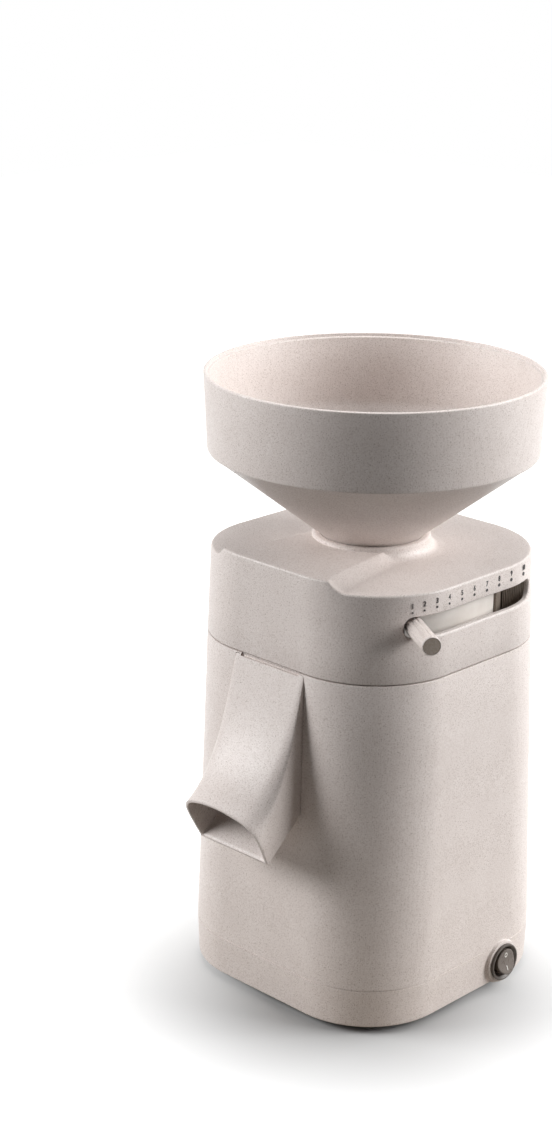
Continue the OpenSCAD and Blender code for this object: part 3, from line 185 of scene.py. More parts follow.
def spout_ring(way, inset=0.0, out=0.0):
    """Section of the spout from its floor to its upper line; way is 0 at the body and 1 at the mouth.
    Inset moves the outline inwards, and out moves it along the spout."""
    low = Vector((-81.83, 122.8)).lerp(Vector((-106.6, 101.7)), way)
    high = Vector((-80.3, 204.5)).lerp(Vector((-123.3, 133.7)), way)
    slope = Vector((-43, -70.8)).normalized()
    bulge = way * (1 - way) * (21.6 + 30 * way)
    high += bulge * Vector((-slope.y, slope.x))
    rise = high - low
    up = rise.normalized()
    ahead = Vector((-up.y, up.x))
    half = 26 + 2 * way - inset
    top = rise.length - 2 * inset
    # The ridges' radius, the arch between them and the sides' toe-in grow from the body to the mouth.
    ridge = max(1.6 + 12.4 * way ** 0.8 - inset, 0.8)
    lean = math.radians(20 * way)
    toe_in = 1.6 * way
    arch_end = half - ridge + ridge * math.sin(lean)
    crown = math.tan(lean) * arch_end / 2
    side_top = top - crown - ridge * math.cos(lean)
    right = [(u * (half - toe_in - 1) / 5, 0) for u in range(6)]
    right += [(half - toe_in - 1 + math.sin(a), 1 - math.cos(a)) for a in (0.4, 0.8, 1.2)]
    right += [(half - toe_in * (1 - v / 10) ** 2, 1 + (side_top - 1) * v / 10) for v in range(11)]
    for i in range(1, 17):
        a = (math.pi / 2 - lean) * i / 16
        right.append((half - ridge + ridge * math.cos(a), side_top + ridge * math.sin(a)))
    for i in range(1, 11):
        u = arch_end * (1 - i / 10)
        right.append((u, top - crown * (u / arch_end) ** 2))
    outline = right + [(-u, v) for u, v in reversed(right[1:-1])]
    return [(u, low.x + up.x * (v + inset) + ahead.x * out, low.y + up.y * (v + inset) + ahead.y * out)
            for u, v in outline]


def shifted(ring, x=0.0, y=0.0):
    """A ring moved sideways."""
    return [(px + x, py + y, pz) for px, py, pz in ring]


spout_steps = [i / 30 for i in range(30)]


def flour_way():
    """The spout's hollow as a solid, from inside the body to just past the mouth."""
    return ring_by_ring("flour_way", [shifted(spout_ring(0, 3), y=6)]
                        + [spout_ring(way, 2.2) for way in spout_steps]
                        + [spout_ring(1, 2.1, -0.5), spout_ring(1, 1.6), spout_ring(1, 0.8, 2)])


pocket = ring_by_ring("pocket", [shifted(spout_ring(0, -0.3), y=y) for y in (2.1, -6)])
add_or_cut(mill_body, pocket, "DIFFERENCE")
add_or_cut(mill_body, flour_way(), "DIFFERENCE")


def notch():
    """The shallow notch under the cover's edge, where a fingernail lifts the cover."""
    outline = ((-22, 206.5), (-22, 203.8), (-21.6, 203.4), (21.6, 203.4), (22, 203.8), (22, 206.5))
    return ring_by_ring("notch", [[(x, y, z) for x, z in outline] for y in (-79.1, -83)])


add_or_cut(mill_body, notch(), "DIFFERENCE")

switch_rear, switch_high = 27, 16
cord_high = 20


def at_switch(ring):
    """Lays a ring about the mill's axis on the switch's axis, which points to the right."""
    return [(z, switch_rear + x, switch_high + y) for x, y, z in ring]


def at_cord(ring):
    """Lays a ring about the mill's axis on the cord's axis, which points to the rear."""
    return [(x, z, cord_high + y) for x, y, z in ring]


boss_profile = [(13.6, 80), (13.6, 83.1), (13.0, 83.4), (12.6, 84), (12.5, 84.8), (12.5, 85.1),
                (12.35, 85.45), (12.0, 85.6)]
boss = ring_by_ring("boss", [at_switch(round_ring(r, x)) for r, x in boss_profile])
add_or_cut(mill_body, boss, "UNION")
for place, radius in ((at_switch, 10), (at_cord, 6.3)):
    hole = ring_by_ring("hole", [place(round_ring(radius, depth)) for depth in (78, 88)])
    add_or_cut(mill_body, hole, "DIFFERENCE")
smooth(mill_body, 26)


def shade(red, green, blue):
    """A colour as it looks on a screen, 0 to 255, as the shader takes it."""
    return tuple(((c / 255 + 0.055) / 1.055) ** 2.4 if c > 10 else c / 255 / 12.92
                 for c in (red, green, blue)) + (1,)


class Finish:
    """A material with its shader, and short ways to add nodes to it."""

    def __init__(self, name, colour, rough, metal=0.0):
        self.material = bpy.data.materials.new(name)
        self.material.use_nodes = True
        self.tree = self.material.node_tree
        self.shader = self.tree.nodes["Principled BSDF"]
        self.shader.inputs["Base Color"].default_value = colour
        self.shader.inputs["Roughness"].default_value = rough
        self.shader.inputs["Metallic"].default_value = metal
        self.place = self.add("ShaderNodeTexCoord").outputs["Object"]

    def add(self, kind, settings=None, **sockets):
        """Adds a node. A socket goes by its name or, as _0 or _1, by its number."""
        node = self.tree.nodes.new(kind)
        for key, value in (settings or {}).items():
            setattr(node, key, value)
        for key, value in sockets.items():
            socket = node.inputs[int(key[1:]) if key[1:].isdigit() else key.replace("_", " ")]
            if isinstance(value, bpy.types.NodeSocket):
                self.tree.links.new(value, socket)
            else:
                socket.default_value = value
        return node

    def noise(self, scale, detail=2.0, place=None):
        return self.add("ShaderNodeTexNoise", Vector=place or self.place, Scale=scale, Detail=detail
                        ).outputs["Fac"]

    def cells(self, scale):
        return self.add("ShaderNodeTexVoronoi", Vector=self.place, Scale=scale)

    def span(self, value, low, high, to_low=0.0, to_high=1.0):
        return self.add("ShaderNodeMapRange", Value=value, From_Min=low, From_Max=high,
                        To_Min=to_low, To_Max=to_high).outputs["Result"]

    def calc(self, how, a, b):
        return self.add("ShaderNodeMath", {"operation": how}, _0=a, _1=b).outputs[0]

    def blend(self, amount, a, b):
        return self.add("ShaderNodeMix", {"data_type": "RGBA"}, _0=amount, _6=a, _7=b).outputs[2]

    def stretched(self, x, y, z):
        """The place on the piece with each direction multiplied, for marks that run one way."""
        return self.add("ShaderNodeVectorMath", {"operation": "MULTIPLY"}, _0=self.place, _1=(x, y, z)
                        ).outputs[0]

    def length(self, place):
        return self.add("ShaderNodeVectorMath", {"operation": "LENGTH"}, _0=place).outputs["Value"]

    def colour(self, value):
        self.tree.links.new(value, self.shader.inputs["Base Color"])

    def rough(self, value):
        self.tree.links.new(value, self.shader.inputs["Roughness"])

    def bump(self, height, strength, deep):
        bump = self.add("ShaderNodeBump", Strength=strength, Distance=deep, Height=height)
        self.tree.links.new(bump.outputs["Normal"], self.shader.inputs["Normal"])


def speckled_plastic(name, colour, dusk):
    """Bioplastic with plant fibre in it: a fine, even grain between two shades, and brown specks."""
    rough = 0.44
    finish = Finish(name, colour, rough)
    cloud = finish.span(finish.noise(60, 3), 0.35, 0.65)
    grain = finish.span(finish.noise(1500, 2), 0.34, 0.66)
    base = finish.blend(finish.calc("MULTIPLY", cloud, 0.2), colour, dusk)
    base = finish.blend(finish.calc("MULTIPLY", grain, 0.7), base, dusk)
    for scale, left_out, size, amount in ((1150, 0.45, 0.36, 0.5), (560, 0.8, 0.2, 0.6)):
        cells = finish.cells(scale)
        chance = finish.add("ShaderNodeSeparateColor", Color=cells.outputs["Color"]).outputs[0]
        speck = finish.calc("MULTIPLY", finish.span(cells.outputs["Distance"], size, size / 2),
                            finish.calc("GREATER_THAN", chance, left_out))
        base = finish.blend(finish.calc("MULTIPLY", speck, amount), base, shade(126, 104, 90))
    finish.colour(base)
    finish.rough(finish.span(grain, 0, 1, rough - 0.06, rough + 0.08))
    dents = finish.calc("MULTIPLY", finish.noise(240, 2), 0.6)
    finish.bump(finish.calc("ADD", finish.noise(1500, 2), dents), 0.22, 0.00012)
    return finish.material


def finish_with(piece, material, body, stands_for=None):
    """Gives a piece its material, the body it rides on and the node it stands for."""
    piece.data.materials.clear()
    piece.data.materials.append(material)
    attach(piece, body)
    if stands_for:
        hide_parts(stands_for)


shell_plastic = speckled_plastic("shell_plastic", shade(228, 220, 216), shade(200, 188, 182))
finish_with(mill_body, shell_plastic, "body", "body_housing")


# Flour spout: a moulding of its own, pushed into the body's pocket. It is a hood with a front that
# arches, ridges that widen to the mouth, and a floor that runs down to the toe.

mill_spout = ring_by_ring("mill_spout", [shifted(spout_ring(0), y=2)]
                          + [spout_ring(way) for way in spout_steps]
                          + [spout_ring(1, 0, -0.7), spout_ring(1, 0.15, -0.2), spout_ring(1, 0.6)])
add_or_cut(mill_spout, flour_way(), "DIFFERENCE")
add_or_cut(mill_spout, notch(), "DIFFERENCE")
smooth(mill_spout, 26)
finish_with(mill_spout, shell_plastic, "body", "flour_spout")


# Top cover: the same speckled moulding. A raised spine runs from the hopper's collar to the front,
# the lever's slot is in its right side, and a tongue below its edge holds it in the body.

cover_high = 255.2
cover_half, cover_radius = 79.8, 56
edge_radius = 1.3
cover_corners = 480
spine_high = 5.8
collar_foot, collar_side = 39.3, 33.3
slot_high = 236.5


def spine_rise(x, y):
    """Height of the spine above the cover's flat part: level across its middle, then sloped off."""
    level = table(-y, [(0, 25), (22, 27), (52, 31), (71, 35), (80, 41)])
    slope = table(-y, [(-20, 7), (22, 9), (52, 11), (80, 12)])
    side = between(level + slope - abs(x), 0, slope)
    back = between(-y, -32, 0)
    return spine_high * side ** 1.7 * back * back * (3 - 2 * back)


def cover_ring(high, inset):
    """A level ring of the cover's side, moved inwards by the inset."""
    half = table(high, [(seam_high, 80.3), (cover_high, cover_half)])
    radius = table(high, [(seam_high, 53), (cover_high, cover_radius)])
    return square_ring(half - inset, radius - inset, high, cover_corners)


def edge_ring(turn):
    """A ring of the cover's rounded edge, which follows the spine; turn is 0 at the side."""
    inset, drop = edge_radius * (1 - math.cos(turn)), edge_radius * (1 - math.sin(turn))
    return [(x, y, cover_high + spine_rise(x, y) - drop) for x, y, _ in cover_ring(cover_high, inset)]


def top_ring(way):
    """A ring of the cover's top, from the edge at way 0 to the foot of the collar at way 1."""
    edge = square_ring(cover_half - edge_radius, cover_radius - edge_radius, 0, cover_corners)
    foot = round_ring(collar_foot, 0, cover_corners)
    ring = []
    for (ax, ay, _), (bx, by, _) in zip(edge, foot):
        x, y = ax + (bx - ax) * way, ay + (by - ay) * way
        ring.append((x, y, cover_high + spine_rise(x, y)))
    return ring


def collar_ring(radius):
    """A ring of the hollow curve from the cover's top up to the collar, softly joined to both."""
    hollow, soft = collar_foot - collar_side, 0.9
    curve = cover_high + hollow - math.sqrt(max(hollow ** 2 - (collar_foot - radius) ** 2, 0))
    ring = []
    for x, y, _ in round_ring(radius, 0, cover_corners):
        top = cover_high + spine_rise(x, y)
        mix = between(0.5 + 0.5 * (curve - top) / soft, 0, 1)
        ring.append((x, y, top + (curve - top) * mix + soft * mix * (1 - mix)))
    return ring


outside = [cover_ring(high, inset) for high, inset in (
    (205.9, 0.6), (206.1, 0.2), (206.5, 0), (222, 0), (236, 0), (248, 0))]
outside += [edge_ring(turn) for turn in (0, 0.26, 0.52, 0.79, 1.05, 1.31)]
outside += [top_ring(i / 34) for i in range(34)]
outside += [collar_ring(collar_side + (collar_foot - collar_side) * (1 - i / 14) ** 1.5)
            for i in range(14)]
collar = [(33.3, 261.35), (33.25, 262.0), (32.9, 262.5), (32.3, 262.85), (31.6, 263), (30.2, 263),
          (29.5, 262.85), (29.1, 262.5), (29, 262), (29, 259.3), (28.7, 259), (26.6, 259), (26.1, 258.5),
          (26.05, 258), (26.05, 238.5), (29, 238.5), (29, 252.2)]
outside += [round_ring(radius, high, cover_corners) for radius, high in collar]
inside = [cover_ring(high, inset) for high, inset in (
    (252.2, 5), (251, 3.3), (249, 3), (212, 3), (209.6, 5.2), (199, 5.2), (198.5, 4.8), (198.5, 3.7),
    (199.2, 3.2), (205.9, 3.2))]
mill_cover = ring_by_ring("mill_cover", outside + inside, joined=True)


def side_place(turn):
    """Where the cover's right side is in a direction in radians, and which way is out there."""
    half, radius = 79.99, 54.9
    side = half - radius
    reach = square_reach(half, radius, turn)
    place = Vector((reach * math.cos(turn), reach * math.sin(turn)))
    if abs(place.y) <= side:
        return place, Vector((1, 0))
    return place, (place - Vector((side, math.copysign(side, place.y)))).normalized()


# Directions in degrees, a tenth apart, each with the distance walked along the side up to it.
side_walk = [(-60.0, 0.0)]
for tenth in range(-599, 601):
    before, here = [side_place(math.radians(t / 10))[0] for t in (tenth - 1, tenth)]
    side_walk.append((tenth / 10, side_walk[-1][1] + (here - before).length))


def walk_of(degrees):
    """Distance along the cover's side, at the slot's height, up to a direction."""
    return table(degrees, side_walk)


def on_side(walk, high, out):
    """A point at a distance along the cover's side, out from it, at a height; in millimetres."""
    low, top = 0, len(side_walk) - 1
    while top - low > 1:
        half_way = (low + top) // 2
        low, top = (half_way, top) if side_walk[half_way][1] <= walk else (low, half_way)
    part = between(walk, side_walk[low][1], side_walk[top][1])
    place, outward = side_place(math.radians(side_walk[low][0] + 0.1 * part))
    place += outward * out
    return place.x, place.y, high


def slot_ring(wider, out):
    """Outline of the lever's slot with round ends, wider by so much, at a distance out from the side."""
    start, end, half = walk_of(-36.5) + 6, walk_of(33.4) - 6, 6 + wider
    turns = [math.pi * i / 18 for i in range(1, 18)]
    ring = [on_side(start + (end - start) * i / 70, slot_high + half, out) for i in range(71)]
    ring += [on_side(end + half * math.sin(a), slot_high + half * math.cos(a), out) for a in turns]
    ring += [on_side(end - (end - start) * i / 70, slot_high - half, out) for i in range(71)]
    ring += [on_side(start - half * math.sin(a), slot_high - half * math.cos(a), out) for a in turns]
    return ring


def flat_ring(wider, out, x):
    """The slot's outline carried on, away from the mill's axis or towards it, to an upright plane at x."""
    return [(x, py * x / px, pz) for px, py, pz in slot_ring(wider, out)]


slot_rings = [flat_ring(3.0, 1.8, 100), slot_ring(3.0, 1.8)]
slot_rings += [slot_ring(1.2 - 1.2 * math.sin(a), -1.2 + 1.2 * math.cos(a))
               for a in (0, 0.31, 0.63, 0.94, 1.26, math.pi / 2)]
slot_rings += [slot_ring(0, -9), flat_ring(0, -9, 40)]
add_or_cut(mill_cover, ring_by_ring("slot_cut", slot_rings), "DIFFERENCE")
smooth(mill_cover, 28)
finish_with(mill_cover, shell_plastic, "body", "top_cover")


# Setting scale: ten numbers, each with a dot that grows with the setting, pad printed in black
# on the cover above the slot.

def join(pieces, name):
    """Joins pieces into one that goes by a new name."""
    select_only(*pieces)
    bpy.ops.object.join()
    bpy.context.object.name = name
    return bpy.context.object


marks = []
dot_places = (-33.4, -28.9, -23.7, -17.9, -11, -3.8, 3.7, 11, 18, 26.4)
for setting, degrees in enumerate(dot_places, start=1):
    middle = walk_of(degrees)
    dot_high = table(setting, [(1, 245.3), (3, 246.4), (7, 246.4), (9, 247.5), (10, 247.5)])
    radius = 0.5 + 0.065 * (setting - 1)
    dot_rings = [[on_side(middle + radius * math.sin(a), dot_high + radius * math.cos(a), out)
                  for a in around(32)] for out in (-0.2, 0.03)]
    marks.append(ring_by_ring(f"dot_{setting}", dot_rings))
    bpy.ops.object.select_all(action="DESELECT")
    bpy.ops.object.text_add()
    number = bpy.context.object
    number.data.body = str(setting)
    number.data.size = 4.1
    number.data.align_x = "CENTER"
    number.data.extrude = 0.12
    number.data.offset = 0.07
    bpy.ops.object.convert(target="MESH")
    for corner in number.data.vertices:
        x, y, z = corner.co
        corner.co = Vector(on_side(middle + 0.8 * x, dot_high + 2.3 + y, z - 0.09)) / 1000
    marks.append(number)
scale_marks = join(marks, "scale_marks")
bpy.ops.object.mode_set(mode="EDIT")
bpy.ops.mesh.select_all(action="SELECT")
bpy.ops.mesh.remove_doubles(threshold=0.000004)
bpy.ops.mesh.normals_make_consistent(inside=False)
bpy.ops.mesh.select_all(action="DESELECT")
bpy.ops.object.mode_set(mode="OBJECT")
ink = Finish("scale_ink", shade(38, 34, 33), 0.5)
ink.bump(ink.noise(1800, 2), 0.1, 0.00005)
ink.rough(ink.span(ink.noise(400), 0.3, 0.7, 0.42, 0.6))
finish_with(scale_marks, ink.material, "body")


# Hopper: a thin bowl of the same speckled plastic, with an upright band, a cone and a spigot that
# drops into the cover's collar. A narrow step runs inside its rim.

def corner_arc(centre, turn_from, turn_to, radius, steps=5):
    """Points of a rounded corner in the bowl's section, in degrees from outwards to upwards."""
    turns = [math.radians(turn_from + (turn_to - turn_from) * i / steps) for i in range(steps + 1)]
    return [(centre[0] + radius * math.cos(a), centre[1] + radius * math.sin(a)) for a in turns]


bowl = [(22.0, 240.2), (25.2, 240.0), (25.8, 240.4), (26.0, 241), (26.0, 258.9), (26.3, 259.3),
        (28.2, 259.3), (28.7, 259.8), (28.7, 262.2), (29.4, 263.4), (31, 264.7), (60.0, 287.3),
        (90.3, 310.9)]
bowl += corner_arc((90.4, 312.6), -45, -4, 1.6, 4)
bowl += [(93.0, 335)]
bowl += corner_arc((93.1, 354.1), 4, 90, 0.9)
bowl += corner_arc((92.5, 354.6), 90, 180, 0.4, 3)
bowl += [(92.0, 353.4), (91.6, 353.1)]
bowl += corner_arc((90.8, 352.5), 90, 180, 0.6, 3)
bowl += [(90.0, 335), (89.0, 316.4), (88.4, 314.3), (87.2, 312.6), (60.0, 291.2), (25.5, 264.4),
         (23.0, 262.0), (22.0, 259.2)]
hopper_bowl = ring_by_ring("hopper_bowl", [round_ring(radius, high, 240) for radius, high in bowl],
                           joined=True)
smooth(hopper_bowl, 24)
finish_with(hopper_bowl, shell_plastic, "hopper", "hopper")


# Setting ring: off-white moulding on the milling chamber. A skirt runs round the chamber, a curved
# shutter closes the slot behind the lever, and fine ribs stand round its rim.

rim_groove = [0, 0.55, 0.55, 0]
rim_corners = 216 * len(rim_groove)


def ribbed_ring(radius, high, deep):
    """A ring of the rim; deep is 1 where the ribs stand and 0 where it is round."""
    ring = []
    for i, turn in enumerate(around(rim_corners)):
        reach = radius - deep * rim_groove[i % len(rim_groove)]
        ring.append((reach * math.cos(turn), reach * math.sin(turn), high))
    return ring


def skirt_ring(radius, high):
    """A smooth circle with as many corners as the ribbed rim."""
    return round_ring(radius, high, rim_corners)


setting_ring = ring_by_ring("setting_ring", [
    skirt_ring(47.05, 229.5), skirt_ring(47.05, 239.5), skirt_ring(47.6, 240),
    ribbed_ring(57.6, 240, 0), ribbed_ring(58.05, 239.5, 1), ribbed_ring(58.05, 222, 1),
    ribbed_ring(57.6, 221.5, 0), skirt_ring(54.05, 221.5), skirt_ring(54.05, 229.5)], joined=True)


def sector(turn_from, turn_to, section):
    """Section corners (radius, height) carried round the mill's axis between two directions."""
    steps = 64
    rings = []
    for i in range(steps + 1):
        a = math.radians(turn_from + (turn_to - turn_from) * i / steps)
        rings.append([(r * math.cos(a), r * math.sin(a), z) for r, z in section])
    return rings


shutter = ring_by_ring("shutter", sector(-33, 27, [
    (56.5, 230.5), (70, 230.5), (70, 224.5), (70.4, 224), (72, 224), (72.5, 224.5), (72.5, 243.3),
    (72, 243.8), (70.5, 243.8), (70, 243.3), (70, 233.5), (56.5, 233.5)]))
add_or_cut(setting_ring, shutter, "UNION")
lever = math.radians(-32)


def at_lever(ring):
    """Lays a ring about the mill's axis on the lever's axis, its height becoming the reach outwards."""
    return [(z * math.cos(lever) - x * math.sin(lever), z * math.sin(lever) + x * math.cos(lever),
             slot_high + y) for x, y, z in ring]


socket_outline = ((-6, -6), (6, -6), (6, 3.5), (-6, 3.5))
socket = ring_by_ring("socket", [at_lever([(x, y, reach) for x, y in socket_outline])
                                 for reach in (56.5, 72.3)])
add_or_cut(setting_ring, socket, "UNION")
rod_hole = ring_by_ring("rod_hole", [at_lever(round_ring(3, reach, 48)) for reach in (51, 80)])
add_or_cut(setting_ring, rod_hole, "DIFFERENCE")
smooth(setting_ring, 25)
ring_plastic = Finish("ring_plastic", shade(238, 232, 226), 0.36)
ring_plastic.colour(ring_plastic.blend(ring_plastic.span(ring_plastic.noise(70, 4), 0.3, 0.7),
                                       shade(242, 236, 230), shade(230, 222, 214)))
ring_plastic.bump(ring_plastic.noise(900, 2), 0.15, 0.0001)
finish_with(setting_ring, ring_plastic.material, "setting_ring", "adjusting_ring")


# Slot screens: thin strips with upright ribs that close the slot beyond the shutter, in a darker
# taupe that paints the shade inside the slot. One is clipped to the shutter's end and turns with it,
# the other stands in the cover behind the slot's end.

screen_rib = [0.45, 0.45, 0, 0]
screen_rings = []
for i in range(85):
    a = math.radians(22 + 0.25 * i)
    outer = 73.6 + screen_rib[i % 4]
    screen_rings.append([(r * math.cos(a), r * math.sin(a), z) for r, z in (
        (72.3, 243), (outer, 243), (outer, 217.5), (72.3, 217.5))])
turning_shade_screen = ring_by_ring("turning_shade_screen", screen_rings)
strip_start, strip_end = Vector((64.1, 38.6)), Vector((71.6, 48.6))
strip_way = (strip_end - strip_start).normalized()
strip_out = Vector((strip_way.y, -strip_way.x))
strip_rings = []
for i in range(51):
    middle = strip_start + strip_way * 0.25 * i
    front, back = middle + strip_out * screen_rib[i % 4], middle - strip_out * 1.2
    strip_rings.append([(front.x, front.y, 214), (front.x, front.y, 246), (back.x, back.y, 246),
                        (back.x, back.y, 214)])
fixed_shade_screen = ring_by_ring("fixed_shade_screen", strip_rings)
# Painted shade: the screens' darker taupe stands for the shade inside the slot; the knob's cap shares this
# plastic.
slot_shade_and_cap_taupe = speckled_plastic("slot_shade_and_cap_taupe", shade(160, 148, 137), shade(136, 124, 113))
for screen, slot_name, body in ((turning_shade_screen, "ring_plastic", "setting_ring"),
                                (fixed_shade_screen, "dark_plastic", "body")):
    smooth(screen, 25)
    finish_with(screen, slot_shade_and_cap_taupe, body)


# Lever knob: pushed on the steel rod, moulded from the shell's plastic, with twelve shallow grip
# flutes and a darker cap let into its end.

knob_in, knob_out = 84, 116.9


def fluted_ring(reach, radius, deep):
    """A ring of the knob's side at a reach from the mill's axis, with its flutes cut in so deep."""
    ring = []
    for turn in around(192):
        wave = 0.5 + 0.5 * math.cos(12 * turn)
        r = radius - deep * wave ** 3
        ring.append((r * math.cos(turn), r * math.sin(turn), reach))
    return at_lever(ring)


grip_profile = [(knob_in, 4.6, 0.2), (84.3, 5.0, 0.3), (85, 5.25, 0.4), (114.9, 5.25, 0.4),
                (115.3, 5.25, 0.2), (115.5, 5.25, 0), (116.4, 5.25, 0), (116.8, 5.1, 0),
                (knob_out, 4.95, 0), (knob_out, 4.85, 0), (116.8, 4.75, 0), (116.2, 4.75, 0)]
lever_grip = ring_by_ring("lever_grip", [at_lever(round_ring(3.02, reach, 192))
                                         for reach in (110.9, knob_in)]
                          + [fluted_ring(reach, radius, deep) for reach, radius, deep in grip_profile])
smooth(lever_grip, 32)
finish_with(lever_grip, shell_plastic, "setting_ring", "lever_knob")
cap_profile = [(4.7, 116.05), (4.7, 116.65), (4.55, 116.8), (3, 116.87), (0.5, knob_out)]
grip_cap = ring_by_ring("grip_cap", [at_lever(round_ring(radius, reach)) for radius, reach in cap_profile])
smooth(grip_cap, 40)
finish_with(grip_cap, slot_shade_and_cap_taupe, "setting_ring")


# Mains switch: a round snap-in rocker switch. Its dark bezel slopes in to the rocker, which has a
# ring for off above and a bar for on below, and stands in its off position.

def satin_plastic(name, colour, other, rough):
    """Plain coloured plastic with a faint cloud in its colour and a fine eroded texture."""
    finish = Finish(name, colour, rough)
    finish.colour(finish.blend(finish.span(finish.noise(180, 4), 0.3, 0.7), colour, other))
    finish.rough(finish.span(finish.noise(500, 2), 0.3, 0.7, rough - 0.05, rough + 0.07))
    finish.bump(finish.noise(1600, 2), 0.12, 0.00008)
    return finish.material


bezel_profile = [(7.9, 62.5), (9.95, 62.5), (9.95, 85.4), (10.7, 85.62), (11, 85.75), (11, 86.9),
                 (10.85, 87.25), (10.5, 87.4), (10.1, 87.38), (8.9, 86.3), (8.7, 86.0), (8.7, 76.0),
                 (7.9, 76.0)]
switch_bezel = ring_by_ring("switch_bezel", [at_switch(round_ring(r, x)) for r, x in bezel_profile],
                            joined=True)
box_outline = ((-7.5, -6), (-7, -6.5), (7, -6.5), (7.5, -6), (7.5, 6), (7, 6.5), (-7, 6.5), (-7.5, 6))
contact_box = ring_by_ring("contact_box", [at_switch([(y, z, x) for y, z in box_outline])
                                           for x in (62.4, 75.9)])
add_or_cut(switch_bezel, contact_box, "UNION")
for high in (-3.25, 3.25):
    tab = ring_by_ring("tab", [at_switch([(-w, high - 0.4, x), (w, high - 0.4, x), (w, high + 0.4, x),
                                          (-w, high + 0.4, x)])
                               for x, w in ((54.5, 2.6), (55.2, 3.15), (63, 3.15))])
    add_or_cut(switch_bezel, tab, "UNION")
smooth(switch_bezel, 30)
switch_plastic = satin_plastic("switch_plastic", shade(84, 75, 68), shade(74, 66, 60), 0.42)
finish_with(switch_bezel, switch_plastic, "body", "switch_body")

tilt = Matrix.Rotation(math.radians(-10), 4, "Y")
pivot_out = 82.417


def on_rocker(out, rear, high):
    """A point of the tilted rocker, from its pivot: out, to the rear and up, in millimetres."""
    place = tilt @ Vector((out, rear, high))
    return place.x + pivot_out, place.y + switch_rear, place.z + switch_high


def rocker_face(high):
    """Height of the rocker's face above its pivot: two slightly hollow halves that meet in a ridge."""
    return 5.55 + 1.35 * (abs(high) / 7.4) ** 1.6


rocker_rings = []
for radius, out in ((6.9, -3), (7.3, -2.6), (7.35, 3)):
    rocker_rings.append([on_rocker(out, radius * math.cos(a), radius * math.sin(a)) for a in around(96)])
for radius, drop in ((7.35, 0.5), (7.25, 0.2), (7.0, 0.05), (6.5, 0), (5.5, 0), (4.5, 0), (3.5, 0),
                     (2.5, 0), (1.5, 0), (0.6, 0)):
    rocker_rings.append([on_rocker(rocker_face(radius * math.sin(a)) - drop, radius * math.cos(a),
                                   radius * math.sin(a)) for a in around(96)])
switch_paddle = ring_by_ring("switch_paddle", rocker_rings)
pin = ring_by_ring("pin", [[on_rocker(1.2 * math.cos(a), rear, 1.2 * math.sin(a)) for a in around(32)]
                           for rear in (-9.6, 9.6)])
add_or_cut(switch_paddle, pin, "UNION")
smooth(switch_paddle, 30)
paddle_plastic = satin_plastic("paddle_plastic", shade(104, 94, 86), shade(94, 84, 77), 0.3)
finish_with(switch_paddle, paddle_plastic, "rocker", "switch_rocker")

off_rings = []
for radius, out in ((1.25, -0.1), (1.25, 0.05), (0.8, 0.05), (0.8, -0.1)):
    off_rings.append([on_rocker(rocker_face(3.9 + radius * math.sin(a)) + out, radius * math.cos(a),
                                3.9 + 1.15 * radius * math.sin(a)) for a in around(48)])
off_mark = ring_by_ring("off_mark", off_rings, joined=True)
bar_outline = ((-0.25, -2.6), (0.25, -2.6), (0.25, -4.0), (0.25, -5.4), (-0.25, -5.4), (-0.25, -4.0))
on_mark = ring_by_ring("on_mark", [[on_rocker(rocker_face(high) + out, rear, high)
                                    for rear, high in bar_outline] for out in (-0.1, 0.05)])
mark_white = satin_plastic("mark_white", shade(232, 230, 226), shade(224, 222, 217), 0.45)
for mark in (off_mark, on_mark):
    finish_with(mark, mark_white, "rocker")


# Feet: four turned pads of light grey rubber, pushed into the base plate with a plug.

foot_profile = [(2.9, 8), (3, 5), (8.3, 5), (8.9, 4.7), (9, 4.2), (8.75, 2), (8.3, 0.4), (7.8, 0.05),
                (6.9, 0), (6.4, 0.35), (5.4, 0.35), (4.9, 0)]
pads = []
for x in (-52, 52):
    for y in (-52, 52):
        pads.append(ring_by_ring("pad", [shifted(round_ring(radius, high, 64), x, y)
                                         for radius, high in foot_profile]))
foot_pads = join(pads, "foot_pads")
smooth(foot_pads, 30)
foot_rubber = Finish("grey_rubber", shade(176, 172, 168), 0.7)
foot_rubber.colour(foot_rubber.blend(foot_rubber.span(foot_rubber.noise(260, 3), 0.3, 0.7),
                                     shade(180, 176, 172), shade(160, 156, 151)))
foot_rubber.bump(foot_rubber.noise(1200, 3), 0.25, 0.0002)
finish_with(foot_pads, foot_rubber.material, "body", "rubber_feet")


# Base plate: a dark moulded tray with intake slots under the fan, a shroud around the fan and a cup
# for the capacitor. Four screws hold it to the body from below.

def give(finish, *nodes):
    """Puts a finish on nodes that are shown in the shape they have."""
    for node in nodes:
        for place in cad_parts[node].material_slots:
            place.material = finish


give(satin_plastic("base_plastic", shade(66, 62, 59), shade(57, 54, 51), 0.5), "base_plate")


# Cord gland: black nylon with a flange on the rear wall, a tapered nose with six slots that grips the
# cord, a rolled thread inside the body and a hexagon nut on it.

